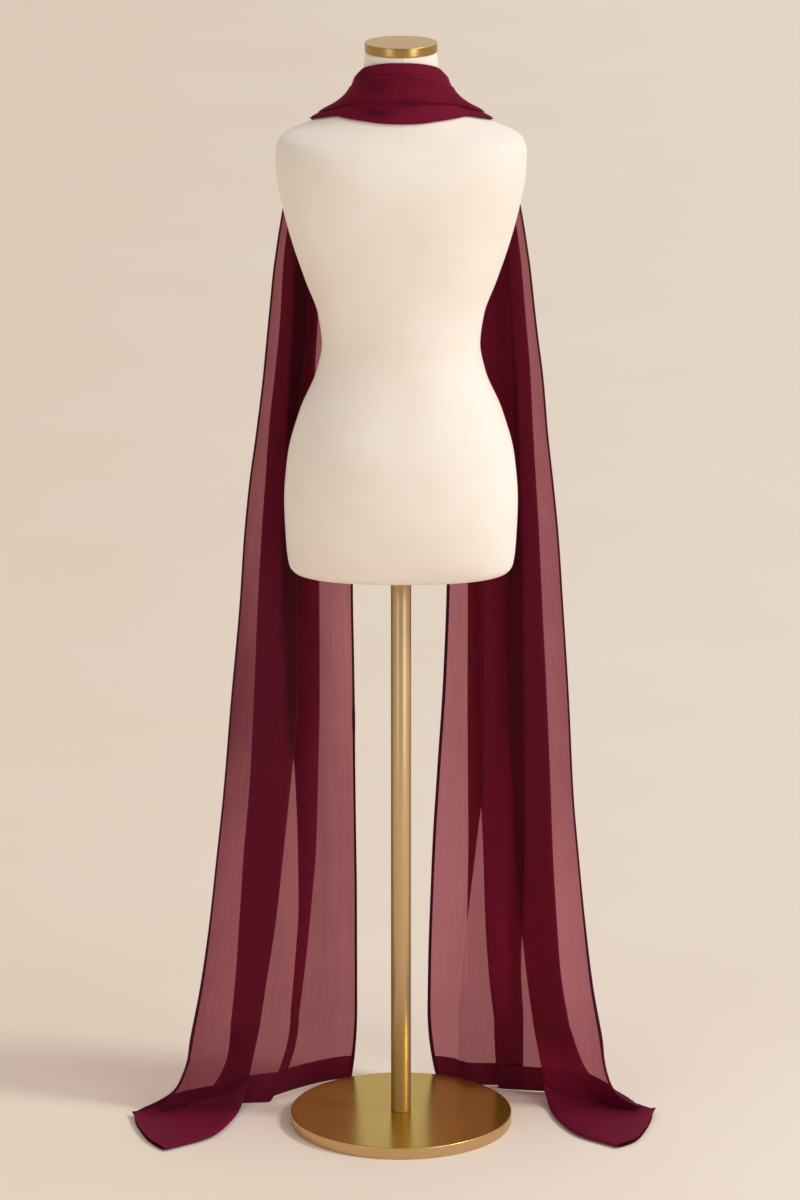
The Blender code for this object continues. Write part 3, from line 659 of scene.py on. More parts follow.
# tones painted on the cloth: painted light, painted shade, and how much more or less the cloth
# covers
paintedLightShadeAndCover = {
    # how strong the painted light is on the gathers round the neck, and on the cloth lying on the
    # floor
    "atNeck": 0.77,
    "onFloor": 0.42,
    # where a tone starts and where it is full: along the cloth from the centre back, then by
    # height, by depth, and by layer from the outer edge
    "neckReach": (0.33, 0.12),
    "hangs": (0.08, 0.23),
    "floorReach": (0.036, 0.006),
    "toeReach": (0.13, 0.07),
    "toeBack": (0.010, 0.040),
    "floorDepth": (0.04, 0.0),
    "outerPanel": (1.1, 0.8),
    "outerPleat": (1.35, 1.15),
    "outerEdge": (0.45, 0.0),
    "innerPanel": (5.9, 6.2),
    # how much closer the threads lie, on the left and on the right: all down the panel, at the
    # height of a knee, at the height of a shin, and at the outer edge
    "knee": (0.66, 0.17),
    "shin": (0.30, 0.16),
    "outerPull": ((0.03, 0.16, 0.0, 0.09), (-0.05, 0.0, -0.13, 0.08)),
    "innerPull": ((-0.03, -0.10, 0.0, 0.0), (-0.11, 0.0, -0.04, 0.0)),
    # painted light on the folds that face the light: left side or not, layer, how far the glow
    # spreads in layers, how strong
    "panels": ((True, 2.92, 0.26, 0.42), (True, 0.75, 0.35, 0.10), (False, 2.80, 0.45, 0.42),
               (False, 4.85, 0.40, 0.45), (False, 0.85, 0.50, 0.14), (True, 3.0, 0.03, 0.3),
               (False, 3.0, 0.03, 0.2)),
    # how strong the painted light is on the outer pleat at its toe, and where it rises behind it,
    # on the left and on the right
    "toeGlow": (0.10, 0.30),
    "toeRise": (0.0, 0.32),
    "foldWidth": 0.12,          # painted highlight along the folds' own edges, where they catch the light: a lighter tone and a thinner cover
    "foldThin": 0.20,
    "foldGlow": 0.25,
    # lengthwise streaks: least and most of layer, width, lean, height and reach
    "streaks": ((0.0, 7.0), (0.03, 0.11), (-0.25, 0.25), (0.1, 1.2), (0.12, 0.40)),
    "streakCount": 46,
    "streakDepth": 0.032,
    # on the right a narrow strip opens between two pleats, with painted light in it: its place and
    # half width, where its glow starts and is full by layer from both sides, and by height
    "strip": (0.157, 0.008),
    "stripLayers": ((2.02, 2.12), (2.98, 2.88)),
    "stripOpens": (0.62, 0.46),
    "stripGlow": 0.55,
    # painted shade along a crease where the outer pleat of the left side is pinched above the
    # floor: heights and layers from top to foot, half width, shares in which it comes and goes
    "pinchHeights": (0.135, 0.040),
    "pinchLayers": (0.50, 0.36),
    "pinchWidth": 0.05,
    "pinchIn": (0.0, 0.25),
    "pinchOut": (1.15, 0.90),
    "pinchShade": 0.75,
    "layerEdge": 0.0030,        # how softly a layer starts to count at its fold
    "crowdFrom": 2.9,           # layers one behind the other, from which the cloth is given painted shade
    "crowdOver": 2.8,
    "neckBack": 0.02,           # its tones lie behind this depth
    "neckGlow": 0.35,
    # soft light and shade in the gathers at the back of the neck: place across, height, half
    # width, half height, and how much lighter, or darker below 0
    "neckTones": (
        (-0.036, 1.5585, 0.024, 0.0060, -0.75), (0.003, 1.5540, 0.013, 0.0035, 0.60),
        (0.066, 1.5540, 0.024, 0.0045, 0.45), (-0.078, 1.5560, 0.022, 0.0040, 0.40),
        (0.052, 1.5890, 0.020, 0.0130, 0.45), (0.024, 1.6220, 0.018, 0.0050, 0.35),
        (-0.073, 1.5800, 0.016, 0.0085, 0.50), (-0.057, 1.6130, 0.008, 0.0120, -0.55),
        (-0.034, 1.5960, 0.022, 0.0100, -0.45), (0.012, 1.5765, 0.034, 0.0045, -0.40),
        (0.094, 1.5600, 0.012, 0.0060, -0.40), (-0.010, 1.6130, 0.030, 0.0040, -0.25),
    ),
}


def fades(x, name):
    return ease(x, *paintedLightShadeAndCover[name])


def band(x, name):
    return bell((x - paintedLightShadeAndCover[name][0]) / paintedLightShadeAndCover[name][1])


gatherNeck = fades(np.abs(alongAt - alongAt[middleRow])[:, None], "neckReach")
hanging = fades(heightOf, "hangs") * (1.0 - gatherNeck)


def lyingGlow(points):  # painted light where the cloth lies on the floor in front
    return (fades(points[:, :, 2], "floorReach") * fades(points[:, :, 1], "floorDepth")
            * paintedLightShadeAndCover["onFloor"])


def toeGlow(side, points):  # painted light on the outer pleat where it lies on the floor, and where it rises behind its toe
    rise = fades(points[:, :, 2], "toeBack") * paintedLightShadeAndCover["toeRise"][side]
    return fades(layerPlace, "outerPleat") * (paintedLightShadeAndCover["toeGlow"][side] + rise)


def panelGlow():  # painted light: the folds that face the light are given a lighter tone
    glow = np.zeros(rows.shape[:2])
    for onLeft, layer, width, strength in paintedLightShadeAndCover["panels"]:
        here = leftHalf if onLeft else ~leftHalf
        glow += here * strength * bell((layerPlace - layer) / width)
    strip = band(placeOf, "strip") * fades(heightOf, "stripOpens") * paintedLightShadeAndCover["stripGlow"]
    for limits in paintedLightShadeAndCover["stripLayers"]:
        strip = strip * ease(layerPlace, *limits)
    glow += ~leftHalf * strip
    toe = np.where(leftHalf, toeGlow(0, rows), toeGlow(1, rows))
    return glow * hanging + fades(heightOf, "toeReach") * toe


def panelPull(name):
    bands = (1.0, band(heightOf, "knee"), band(heightOf, "shin"), fades(layerPlace, "outerEdge"))
    left, right = (sum(k * part for k, part in zip(pull, bands)) for pull in paintedLightShadeAndCover[name])
    return np.where(leftHalf, left, right)


def yarnStreaks():  # lengthwise streaks where the yarn lies a little closer or wider
    random = np.random.RandomState(11)
    streaks = np.zeros(rows.shape[:2])
    for side in (leftHalf, ~leftHalf):
        for _ in range(paintedLightShadeAndCover["streakCount"]):
            layer, width, lean, height, reach = [random.uniform(*span)
                                                 for span in paintedLightShadeAndCover["streaks"]]
            depth = random.normal() * paintedLightShadeAndCover["streakDepth"]
            away = (layerPlace - layer - lean * (heightOf - height)) / width
            streaks += side * depth * bell(away) * bell((heightOf - height) / reach)
    return streaks * hanging


def foldEdges(side):
    away = (layerPlace[:, None] - np.array(side["knots"][1:-1])) / paintedLightShadeAndCover["foldWidth"]
    return bell(away).max(axis=1)


def layersBehind(row):  # how many layers of a fall lie one behind the other at each column
    x, soft = row[:, 0], paintedLightShadeAndCover["layerEdge"]
    folds = x[::layerSteps]
    near = np.minimum(folds[:-1], folds[1:])[:, None]
    far = np.maximum(folds[:-1], folds[1:])[:, None]
    return (smoothStep((x - near) / soft + 0.5) * smoothStep((far - x) / soft + 0.5)).sum(axis=0)


def neckTone():
    tone = np.zeros(rows.shape[:2])
    for across, height, halfWidth, halfHeight, strength in paintedLightShadeAndCover["neckTones"]:
        tone += (strength * bell((placeOf - across) / halfWidth)
                 * bell((heightOf - height) / halfHeight))
    return tone * gatherNeck * (depthOf < paintedLightShadeAndCover["neckBack"])


# painted shade along the pinched crease
def pinchCreaseShade():
    top, foot = paintedLightShadeAndCover["pinchHeights"]
    share = (top - heightOf) / (top - foot)
    line = bell((layerPlace - mix(*paintedLightShadeAndCover["pinchLayers"], share)) / paintedLightShadeAndCover["pinchWidth"])
    return leftHalf * line * fades(share, "pinchIn") * fades(share, "pinchOut")


# painted highlight along the fold edges: a lighter tone, and a thinner cover
foldEdge = np.where(leftHalf, foldEdges(leftSide), foldEdges(rightSide)) * hanging
coverAndFoldHighlight = (panelPull("outerPull") * fades(layerPlace, "outerPanel")
           + panelPull("innerPull") * fades(layerPlace, "innerPanel")
           + yarnStreaks() - paintedLightShadeAndCover["foldThin"] * foldEdge)
# painted light: a lighter tone on the gathers round the neck, on the cloth lying on the floor, on
# the folds that face the light and along their edges
paintedLight = np.maximum.reduce([gatherNeck * paintedLightShadeAndCover["atNeck"] + 0.0 * heightOf, lyingGlow(rows),
                            panelGlow(), paintedLightShadeAndCover["foldGlow"] * foldEdge])
# painted shade where many layers hang one behind the other, in the darker tones round the neck, and
# along the pinched crease
paintedShade = np.array([layersBehind(row) for row in rows])
paintedShade = np.clip((paintedShade - paintedLightShadeAndCover["crowdFrom"]) / paintedLightShadeAndCover["crowdOver"], 0.0, 1.0) * hanging
light, shade = np.maximum(neckTone(), 0.0), np.maximum(-neckTone(), 0.0)
paintedLight = paintedLight * (1.0 - shade) + paintedLightShadeAndCover["neckGlow"] * light
paintedShade = np.maximum(paintedShade, shade) + pinchCreaseShade() * paintedLightShadeAndCover["pinchShade"]
for name, values in (("paintedLight", paintedLight), ("coverAndFoldHighlight", coverAndFoldHighlight), ("paintedShade", paintedShade)):
    paintCloth(chiffonSheet, name, values)


def sheetNormals(points):
    across, along = np.gradient(points, axis=1), np.gradient(points, axis=0)
    normal = np.cross(across, along)
    return normal / np.maximum(np.linalg.norm(normal, axis=2, keepdims=True), 1e-9)


normals = sheetNormals(rows)

hems = {
    "outerRoll": (0.0015, 0.0027),  # hand-rolled hems, high up and at the floor, pressed flat
    "innerRoll": (0.0024, 0.0028),
    "neckRoll": 0.0009,         # pulled tight round the neck
    "rollGrows": (0.40, 0.05),  # from the first height down to the second
    "rollFlat": 0.6,
    "rollSides": 8,
    "rollRound": 0.008,         # the cloth in one turn of the roll
    "layerGap": 0.0010,         # from the cloth to the turned-up layer of the end hem
    "gapPower": 8,              # the layers meet in a turned edge, not in a long wedge
    "endDepth": 0.034,
    "endRows": 20,
    "floorZ": 0.0004,
}


def rolledHem(name, column, inward, radius):  # the long edge, rolled over and stitched down
    path = rows[:, column]
    side = rows[:, column + inward] - path
    side /= np.linalg.norm(side, axis=1, keepdims=True)
    up = normals[:, column]
    turns = np.linspace(0.0, math.tau, hems["rollSides"] + 1)
    thick = mix(*radius, ease(path[:, 2:], *hems["rollGrows"]))
    thick = mix(thick, hems["neckRoll"], gatherNeck)[:, :, None]
    ring = (np.cos(turns)[None, :, None] * side[:, None] * thick
            + np.sin(turns)[None, :, None] * up[:, None] * thick * hems["rollFlat"])
    points = path[:, None] + ring
    points[:, :, 2] = np.maximum(points[:, :, 2], hems["floorZ"])
    obj = clothGrid(name, points, turns / math.tau * hems["rollRound"], alongAt)
    # painted light on the hem, the same as on the cloth beside it
    paintCloth(obj, "paintedLight", np.repeat(paintedLight[:, column], len(turns)))
    return closePiece(obj, ends=True)


def endHem(name, side, rowOf):  # the second layer of the deep hem, turned up behind the end
    starts = tableCurves(side["hemStart"], (1,))[0](layerPlace)
    shares = np.linspace(0.0, 1.0, hems["endRows"] + 1)
    columns = np.arange(columnCount)
    away = hems["layerGap"] * np.sqrt(np.maximum(1.0 - shares ** hems["gapPower"], 0.0))
    points = []
    for share, gap in zip(shares, away):
        at = np.clip(mix(starts, 1.0, share) * scarf["toeRows"], 0, scarf["toeRows"])
        first = np.minimum(at.astype(int), scarf["toeRows"] - 1)
        part = (at - first)[:, None]
        one, two = rowOf(first), rowOf(first + 1)
        point, up = (mix(grid[one, columns], grid[two, columns], part) for grid in (rows, normals))
        points.append(point + up * gap)
    points = np.array(points)
    points[:, :, 2] = np.maximum(points[:, :, 2], hems["floorZ"])
    obj = clothGrid(name, points, acrossAt, shares * hems["endDepth"])
    # painted light where the hem lies on the floor and on the outer pleat at its toe
    glow = toeGlow(0 if side is leftSide else 1, points)
    paintCloth(obj, "paintedLight", np.maximum(lyingGlow(points), glow))
    return obj


lastRow = len(rows) - 1
outerHem = rolledHem("scarf_outer_rolled_hem", 0, 1, hems["outerRoll"])
innerHem = rolledHem("scarf_inner_rolled_hem", columnCount - 1, -1, hems["innerRoll"])
leftEnd = endHem("scarf_left_end_hem", leftSide, lambda k: scarf["toeRows"] - k)
rightEnd = endHem("scarf_right_end_hem", rightSide, lambda k: lastRow - scarf["toeRows"] + k)
scarfPieces = [chiffonSheet, outerHem, innerHem, leftEnd, rightEnd]
print("scarf made:", sum(len(o.data.polygons) for o in scarfPieces), "faces")


# the form's cover and its turned brass parts, smooth where the solids are faceted

cover = {
    "around": 160,
    "rows": 230,
    "rimRows": 6,
    "meanRadius": 0.15,         # the knit is laid out on a tube of this size
}


def formCover():
    span = np.array([row[0] for row in form["sections"]])
    place = np.linspace(0.0, len(span) - 1.0, cover["rows"])
    heights = np.interp(place, np.arange(len(span)), span)
    angles = np.linspace(0.0, math.tau, cover["around"] + 1)
    rings = [formPoint(angles, np.full(angles.shape, z)) for z in heights]
    inset = np.sqrt(1.0 - np.arange(1, cover["rimRows"] + 1) / cover["rimRows"])
    low = [rings[0] * np.array([k, k, 1.0]) for k in inset[::-1]]
    high = [rings[-1] * np.array([k, k, 1.0]) for k in inset]
    runs = np.concatenate(([heights[0]] * len(low), heights, [heights[-1]] * len(high)))
    points = np.array(low + rings + high)
    return closePiece(clothGrid("form_jersey_cover", points, angles * cover["meanRadius"], runs))


def turned(name, profile, steps):  # a lathe-turned part: the profile's radii and heights
    bm = bmesh.new()
    verts = [bm.verts.new((radius, 0.0, z)) for radius, z in profile]
    edges = [bm.edges.new(pair) for pair in zip(verts, verts[1:])]
    bmesh.ops.spin(bm, geom=verts + edges, cent=(0, 0, 0), axis=(0, 0, 1), angle=math.tau,
                   steps=steps, use_merge=True)
    closeSkin(bm)
    for face in bm.faces:
        face.smooth = True
    return newPiece(name, bm)


metal = {
    # radius, underside, top, rounding of the rims, steps round
    "base": (0.1665, 0.0, 0.018, 0.0016, 128),
    "cap": (0.0525, 1.6360, 1.6500, 0.0015, 96),
    "pole": (0.015, 0.0183, 0.8597, 0.0004, 64),
    "rimTurns": (0, 18, 36, 54, 72, 90),
    "faceRings": (1.6, 0.5),    # in from the rim by this many roundings, and share of the radius
}


def roundedDisc(name, key):  # a disc whose two rims are rounded
    radius, low, high, edge, steps = metal[key]
    inset, middle = metal["faceRings"]
    face = (0.0, radius * middle, radius - inset * edge)
    rim = []
    for centre, start in ((low + edge, -90), (high - edge, 0)):
        for turn in metal["rimTurns"]:
            a = math.radians(start + turn)
            rim.append((radius - edge + edge * math.cos(a), centre + edge * math.sin(a)))
    return turned(name, [(r, low) for r in face] + rim + [(r, high) for r in face[::-1]], steps)


def tube(name, key):  # a tube whose two ends are broken by a small chamfer
    radius, low, high, edge, steps = metal[key]
    return turned(name, [(0.0, low), (radius - edge, low), (radius, low + edge),
                         (radius, high - edge), (radius - edge, high), (0.0, high)], steps)


formPiece = formCover()
basePiece = roundedDisc("base_disc", "base")
capPiece = roundedDisc("cap_disc", "cap")
polePiece = tube("pole_tube", "pole")
print("form and stand made")


# finishes

def hexColour(code):  # an sRGB hex value as linear colour
    channels = [int(code[k:k + 2], 16) / 255 for k in (1, 3, 5)]
    linear = [c / 12.92 if c <= 0.04045 else ((c + 0.055) / 1.055) ** 2.4 for c in channels]
    return (*linear, 1.0)


def addNode(tree, kind, links=None, **settings):
    # a link from a whole node takes its first output in use; a Mix node mixes two colours, its
    # sockets 6 and 7, and a Map Range node has its limits in 1 to 4
    node = tree.nodes.new("ShaderNode" + kind)
    if kind == "Mix":
        node.data_type = "RGBA"
    for name, value in settings.items():
        setattr(node, name, value)
    for socket, value in (links or {}).items():
        if isinstance(value, bpy.types.Node):
            value = next(output for output in value.outputs if output.enabled)
        if isinstance(value, bpy.types.NodeSocket):
            tree.links.new(value, node.inputs[socket])
        else:
            plain = not isinstance(value, str)
            node.inputs[socket].default_value = value if plain else hexColour(value)
    return node


def newMaterial(name):  # an empty material, and what adds a node to it
    material = bpy.data.materials.new(name)
    material.use_nodes = True
    material.node_tree.nodes.clear()
    return material, partial(addNode, material.node_tree)


chiffon = {
    "threads": "#5C0C28",
    "threadsDeep": "#4E0A22",
    "paintedLightTone": "#86173A",      # painted light, where the cloth lies bunched on the neck and where it lies on the floor
    "paintedShadeTone": "#2C0410",       # painted shade where many layers hang one behind the other
    "sheen": "#C0305C",
    "roughness": 0.75,
    "seenThrough": (0.80, 0.33, 0.40, 1.0),     # what one layer leaves of the light that passes
    "cover": 0.62,                              # how much of the view the threads fill
    "slubCover": 0.035,         # how much more or less where the yarn is thick or thin
    "softCover": 0.02,          # where it is pulled tight or slack
    "weaveCover": 0.03,         # and from thread to thread
    "threadPitch": 0.0012,      # real threads are about 0.3 mm apart, too fine to show
    "threadHeight": 0.0002,
    "slubLength": 0.090,
    "slubWidth": 0.0016,
    "softScale": 14.0,
}


def chiffonMaterial(name, layers):
    # polyester chiffon, plain weave of twisted yarn: matt, see-through, darker where it doubles
    material, add = newMaterial(name)
    uv = add("UVMap", uv_map="cloth")
    pitch = math.tau / chiffon["threadPitch"]
    apart = add("SeparateXYZ", {0: uv})
    warp = add("Math", {0: apart.outputs["X"], 1: pitch}, operation="MULTIPLY")
    weft = add("Math", {0: apart.outputs["Y"], 1: pitch}, operation="MULTIPLY")
    warpWave = add("Math", {0: warp}, operation="SINE")
    weftWave = add("Math", {0: weft}, operation="SINE")
    weave = add("Math", {0: warpWave, 1: weftWave}, operation="MULTIPLY")
    stretch = add("Mapping", {"Vector": uv, "Scale": (1.0 / chiffon["slubWidth"],
                                                      1.0 / chiffon["slubLength"], 1.0)})
    slubs = add("TexNoise", {"Vector": stretch, "Scale": 1.0, "Detail": 3.0, "Roughness": 0.6})
    soft = add("TexNoise", {"Vector": uv, "Scale": chiffon["softScale"], "Detail": 2.0})
    tone = add("Mix", {"Factor": slubs, 6: chiffon["threadsDeep"], 7: chiffon["threads"]})
    # painted shade where many layers hang one behind the other, then painted light on the neck, the
    # floor and the folds that face the light
    for attribute, colour in (("paintedShade", "paintedShadeTone"), ("paintedLight", "paintedLightTone")):
        share = add("Attribute", attribute_name=attribute)
        tone = add("Mix", {"Factor": share.outputs["Fac"], 6: tone, 7: chiffon[colour]})
    bump = add("Bump", {"Height": weave, "Strength": 0.12, "Distance": chiffon["threadHeight"]})
    threads = add("BsdfPrincipled", {
        "Base Color": tone, "Roughness": chiffon["roughness"], "Specular IOR Level": 0.10,
        "Sheen Weight": 0.20, "Sheen Roughness": 0.30, "Sheen Tint": chiffon["sheen"],
        "Normal": bump})
    # the slubs and the slow drift of the yarn tension let a little more or less light by
    cover = 1.0 - (1.0 - chiffon["cover"]) ** layers
    slubCover = add("MapRange", {"Value": slubs, 1: 0.25, 2: 0.75, 3: cover - chiffon["slubCover"],
                                 4: cover + chiffon["slubCover"]})
    softCover = add("MapRange", {"Value": soft, 1: 0.3, 2: 0.7, 3: -chiffon["softCover"],
                                 4: chiffon["softCover"]})
    weaveCover = add("Math", {0: weave, 1: chiffon["weaveCover"], 2: softCover},
                     operation="MULTIPLY_ADD")
    # painted highlight: the cover is thinner along the fold edges; the rest of this map is the
    # yarn's streaks and pulls
    coverAndFoldHighlight = add("Attribute", attribute_name="coverAndFoldHighlight")
    woven = add("Math", {0: slubCover, 1: weaveCover}, operation="ADD")
    total = add("Math", {0: woven, 1: coverAndFoldHighlight.outputs["Fac"]}, operation="ADD", use_clamp=True)
    clear = add("BsdfTransparent",
                {"Color": [channel ** layers for channel in chiffon["seenThrough"]]})
    blend = add("MixShader", {0: total, 1: clear, 2: threads})
    add("OutputMaterial", {"Surface": blend})
    return material


rolled = {
    "thread": "#36061A",
    "threadLight": "#4A0820",
    "paintedLightTone": "#741636",      # painted light, among the gathers round the neck
    "stitch": 0.0045,           # from one hand stitch to the next
    "stitchHeight": 0.0004,
    "fuzzScale": 260.0,
}


def rolledMaterial():
    # the same chiffon rolled three times: no light comes through, small hand stitches pull it in
    material, add = newMaterial("rolled_chiffon_hem")
    uv = add("UVMap", uv_map="cloth")
    apart = add("SeparateXYZ", {0: uv})
    turn = add("Math", {0: apart.outputs["Y"], 1: math.tau / rolled["stitch"]},
               operation="MULTIPLY")
    slant = add("Math", {0: apart.outputs["X"], 1: math.tau / hems["rollRound"], 2: turn},
                operation="MULTIPLY_ADD")
    wave = add("Math", {0: slant}, operation="SINE")
    noise = add("TexNoise", {"Vector": uv, "Scale": rolled["fuzzScale"], "Detail": 3.0})
    tone = add("Mix", {"Factor": noise, 6: rolled["thread"], 7: rolled["threadLight"]})
    # painted light among the gathers round the neck
    paintedLight = add("Attribute", attribute_name="paintedLight")
    lit = add("Mix", {"Factor": paintedLight.outputs["Fac"], 6: tone, 7: rolled["paintedLightTone"]})
    bump = add("Bump", {"Height": wave, "Strength": 0.35, "Distance": rolled["stitchHeight"]})
    shader = add("BsdfPrincipled", {"Base Color": lit, "Roughness": 0.7,
                                    "Specular IOR Level": 0.12, "Normal": bump})
    add("OutputMaterial", {"Surface": shader})
    return material


jersey = {
    "light": "#F1E8DF",
    "dark": "#EBDFD3",
    "seam": "#A98B6C",
    "seamAt": 0.002,
    "seamHalf": (0.0004, 0.0014),   # full inside the first, gone outside the second
    # height and share of the seam's line: it shows on the narrow neck, and is lost in the nap
    "seamLow": (1.50, 0.03),
    "seamHigh": (1.60, 0.30),
    "courses": 0.0030,          # real stitches are about 0.5 mm by 0.7 mm, drawn coarser to show
    "wales": 0.0012,
    "stitchHeight": 0.0003,
    "driftScale": 9.0,
    "fuzzScale": 420.0,
}


def jerseyMaterial():
    # cotton jersey stretched over a padded form: a fine even knit, matt, slightly uneven tone
    material, add = newMaterial("cream_cotton_jersey")
    place = add("TexCoord").outputs["Object"]
    apart = add("SeparateXYZ", {0: place})
    uv = add("UVMap", uv_map="cloth")
    stitches = add("Mapping", {"Vector": uv, "Scale": (1.0 / jersey["wales"],
                                                       1.0 / jersey["courses"], 1.0)})
    knit = add("TexNoise", {"Vector": stitches, "Scale": 1.0, "Detail": 1.0})
    drift = add("TexNoise", {"Vector": place, "Scale": jersey["driftScale"], "Detail": 3.0})
    fuzz = add("TexNoise", {"Vector": place, "Scale": jersey["fuzzScale"], "Detail": 2.0})
    amount = add("MapRange", {"Value": drift, 1: 0.3, 2: 0.7})
    tone = add("Mix", {"Factor": amount, 6: jersey["light"], 7: jersey["dark"]})
    # the cover's centre back seam, a faint line where the two halves join
    off = add("Math", {0: apart.outputs["X"], 1: jersey["seamAt"]}, operation="SUBTRACT")
    away = add("Math", {0: off}, operation="ABSOLUTE")
    line = add("MapRange", {"Value": away, 1: jersey["seamHalf"][0], 2: jersey["seamHalf"][1],
                            3: 1.0, 4: 0.0})
    behind = add("Math", {0: apart.outputs["Y"], 1: 0.0}, operation="LESS_THAN")
    seam = add("Math", {0: line, 1: behind}, operation="MULTIPLY")
    (low, lowShare), (high, highShare) = jersey["seamLow"], jersey["seamHigh"]
    onNeck = add("MapRange", {"Value": apart.outputs["Z"], 1: low, 2: high, 3: lowShare,
                              4: highShare})
    seamFaint = add("Math", {0: seam, 1: onNeck}, operation="MULTIPLY")
    colour = add("Mix", {"Factor": seamFaint, 6: tone, 7: jersey["seam"]})
    height = add("Math", {0: knit, 1: 1.5, 2: fuzz}, operation="MULTIPLY_ADD")
    grooved = add("Math", {0: seamFaint, 1: -4.0, 2: height}, operation="MULTIPLY_ADD")
    bump = add("Bump", {"Height": grooved, "Strength": 0.20, "Distance": jersey["stitchHeight"]})
    shader = add("BsdfPrincipled", {"Base Color": colour, "Roughness": 0.9,
                                    "Specular IOR Level": 0.2, "Sheen Weight": 0.25,
                                    "Sheen Roughness": 0.5, "Normal": bump})
    add("OutputMaterial", {"Surface": shader})
    return material


brass = {
    # colour, darker drift, metallic, roughness, how fine the brushing is along x, y and z,
    # how deep it is, tint of the reflection at a glancing angle
    "satin_brass_cap_face": ("#D9B583", "#D0AB78", 0.90, 0.40, (40.0, 900.0, 40.0), 0.0,
                             "#FFFFFF"),
    "brushed_brass_cap_rim": ("#AE9059", "#A58650", 1.0, 0.28, (40.0, 40.0, 900.0), 0.08,
                              "#FFFFFF"),
    "brushed_brass_tube": ("#CBAF82", "#C1A578", 0.62, 0.33, (900.0, 900.0, 12.0), 0.04,
                           "#7A5A3A"),
    "satin_brass_disc_face": ("#C9A634", "#BF9D30", 0.87, 0.22, (20.0, 900.0, 20.0), 0.0,
                              "#FFFFFF"),
    "brushed_brass_disc_rim": ("#D2B181", "#C9A777", 0.92, 0.30, (40.0, 40.0, 900.0), 0.04,
                               "#FFFFFF"),
}
brassGrain = {
    "driftScale": 7.0,
    "height": 0.0002,
    "polish": (0.006, 0.3),     # how far the roughness spreads, and how much more with depth
}


def brassMaterial(name):
    # satin brass, brushed: soft streaks along the brushing, a warm and slightly blurred reflection
    colour, darker, metallic, roughness, grain, depth, edge = brass[name]
    material, add = newMaterial(name)
    place = add("TexCoord").outputs["Object"]
    stretch = add("Mapping", {"Vector": place, "Scale": grain})
    streaks = add("TexNoise", {"Vector": stretch, "Scale": 1.0, "Detail": 4.0, "Roughness": 0.65})
    drift = add("TexNoise", {"Vector": place, "Scale": brassGrain["driftScale"], "Detail": 2.0})
    tone = add("Mix", {"Factor": drift, 6: darker, 7: colour})
    least, more = brassGrain["polish"]
    uneven = least + more * depth
    polish = add("MapRange", {"Value": streaks, 1: 0.3, 2: 0.7, 3: roughness - uneven,
                              4: roughness + uneven})
    bump = add("Bump", {"Height": streaks, "Strength": depth, "Distance": brassGrain["height"]})
    shader = add("BsdfPrincipled", {"Base Color": tone, "Metallic": metallic, "Roughness": polish,
                                    "Specular Tint": edge, "Normal": bump})
    add("OutputMaterial", {"Surface": shader})
    return material


doubleFinish = chiffonMaterial("wine_chiffon_turned_double", 2)
rolledFinish = rolledMaterial()
finishOf = {
    chiffonSheet: (chiffonMaterial("wine_polyester_chiffon", 1),),
    leftEnd: (doubleFinish,),
    rightEnd: (doubleFinish,),
    outerHem: (rolledFinish,),
    innerHem: (rolledFinish,),
    formPiece: (jerseyMaterial(),),
    capPiece: (brassMaterial("satin_brass_cap_face"), brassMaterial("brushed_brass_cap_rim")),
    polePiece: (brassMaterial("brushed_brass_tube"),),
    basePiece: (brassMaterial("satin_brass_disc_face"), brassMaterial("brushed_brass_disc_rim")),
}
for piece, finishes in finishOf.items():
    for finish in finishes:
        piece.data.materials.append(finish)
# the turned discs have a brushed rim round their satin faces
for piece in (capPiece, basePiece):
    for face in piece.data.polygons:
        face.material_index = int(abs(face.normal.z) < 0.5)
print("finishes made")

for piece in scarfPieces:
    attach(piece, "root")
for piece, slot, node in ((formPiece, "form_cover", "dress_form_body"),
                          (capPiece, "stand_metal", "neck_cap"),
                          (polePiece, "stand_metal", "stand_pole"),
                          (basePiece, "stand_metal", "stand_base")):
    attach(piece, "root")
    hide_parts(node)
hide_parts("scarf_neck_wrap", "scarf_left_fall", "scarf_right_fall")


# studio

studio = {
    "floorShadedLeft": "#E5D6C7",
    "floorLitRight": "#EDE0D3",
    "floorSize": 60.0,
    "roomLeft": (0.80, 0.72, 0.65, 1.0),
    "roomRight": (1.09, 1.09, 1.07, 1.0),
    "roomAhead": 0.76,          # brightness of the room beyond the form, and behind the camera
    "roomBehind": 0.43,
    "sun": 1.34,
    "sunAngle": 13.0,
    "sunFrom": (1.0, -0.26, 0.92),
    "sunColour": (1.0, 0.985, 0.965),
    # softboxes on the camera's side: turn from straight back, distance, width, height, power
    "boxes": ((41.0, 3.4, 1.05, 2.6, 26.0), (-37.0, 3.4, 1.30, 2.6, 14.0)),
    "boxHeight": 1.25,
    "boxTilt": 0.12,            # how far they are raised and look down
    "cameraAt": (-0.0015, -8.7294, 3.2320),
    "cameraDown": 15.467,       # degrees below level
    "lens": 184.13,
    "sensorHeight": 36.0,
}
bm = bmesh.new()
bmesh.ops.create_grid(bm, x_segments=1, y_segments=1, size=studio["floorSize"])
floor = newPiece("studio_floor", bm)
paper, add = newMaterial("pale_seamless_paper")
place = add("TexCoord").outputs["Object"]
cloudy = add("TexNoise", {"Vector": place, "Scale": 2.2, "Detail": 5.0})
apart = add("SeparateXYZ", {0: place})
# painted light: the paper is painted darker on the left and lighter on the right; the cloudy mottle
# is its own uneven tone
paintedLightAcross = add("MapRange", {"Value": apart.outputs["X"], 1: -0.9, 2: 0.9, 3: -0.25, 4: 0.95})
mottled = add("MapRange", {"Value": cloudy, 1: 0.3, 2: 0.7, 3: 0.0, 4: 0.30})
blend = add("Math", {0: paintedLightAcross, 1: mottled}, operation="ADD", use_clamp=True)
tone = add("Mix", {"Factor": blend, 6: studio["floorShadedLeft"], 7: studio["floorLitRight"]})
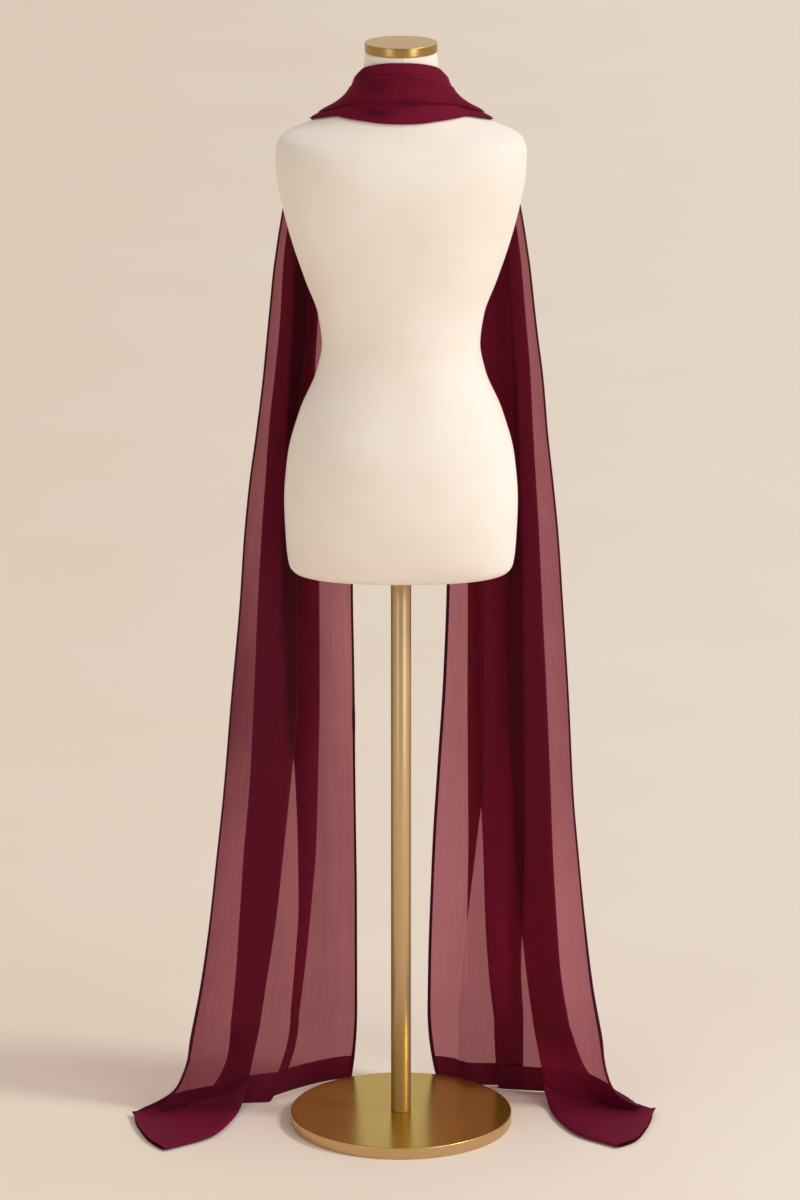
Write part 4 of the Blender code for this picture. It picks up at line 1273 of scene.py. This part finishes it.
matt = add("BsdfPrincipled", {"Base Color": tone, "Roughness": 0.95, "Specular IOR Level": 0.1})
add("OutputMaterial", {"Surface": matt})
floor.data.materials.append(paper)

scene = bpy.context.scene
world = bpy.data.worlds.new("soft_room")
scene.world = world
world.use_nodes = True
world.node_tree.nodes.clear()
add = partial(addNode, world.node_tree)
way = add("SeparateXYZ", {0: add("TexCoord").outputs["Generated"]})
strength = add("MapRange", {"Value": way.outputs["Y"], 1: -0.9, 2: 0.2, 3: studio["roomBehind"],
                            4: studio["roomAhead"]})
aside = add("MapRange", {"Value": way.outputs["X"], 1: -0.8, 2: 0.8})
tint = add("Mix", {"Factor": aside, 6: studio["roomLeft"], 7: studio["roomRight"]})
room = add("Background", {"Color": tint, "Strength": strength})
add("OutputWorld", {"Surface": room})


def addLight(name, kind, toward, **settings):  # a light that shines from where toward points
    light = bpy.data.lights.new(name, kind)
    for key, value in settings.items():
        setattr(light, key, value)
    obj = bpy.data.objects.new(name, light)
    obj.rotation_euler = toward.to_track_quat("Z", "Y").to_euler()
    scene.collection.objects.link(obj)
    return obj


for turn, far, wide, tall, power in studio["boxes"]:
    a = math.radians(turn)
    toward = Vector((math.sin(a), -math.cos(a), studio["boxTilt"]))
    box = addLight("softbox", "AREA", toward, shape="RECTANGLE", size=wide, size_y=tall,
                   energy=power)
    box.location = toward * far + Vector((0.0, 0.0, studio["boxHeight"]))
    box.visible_camera = False
addLight("soft_key", "SUN", Vector(studio["sunFrom"]), energy=studio["sun"],
         angle=math.radians(studio["sunAngle"]), color=studio["sunColour"])

camera = bpy.data.cameras.new("camera")
camera.sensor_fit = "VERTICAL"
camera.sensor_height = studio["sensorHeight"]
camera.lens = studio["lens"]
camera.clip_end = 200.0
cameraObject = bpy.data.objects.new("camera", camera)
cameraObject.location = studio["cameraAt"]
cameraObject.rotation_euler = (math.radians(90.0 - studio["cameraDown"]), 0.0, 0.0)
scene.collection.objects.link(cameraObject)
scene.camera = cameraObject
scene.view_settings.view_transform = "Standard"

print("scene ready")
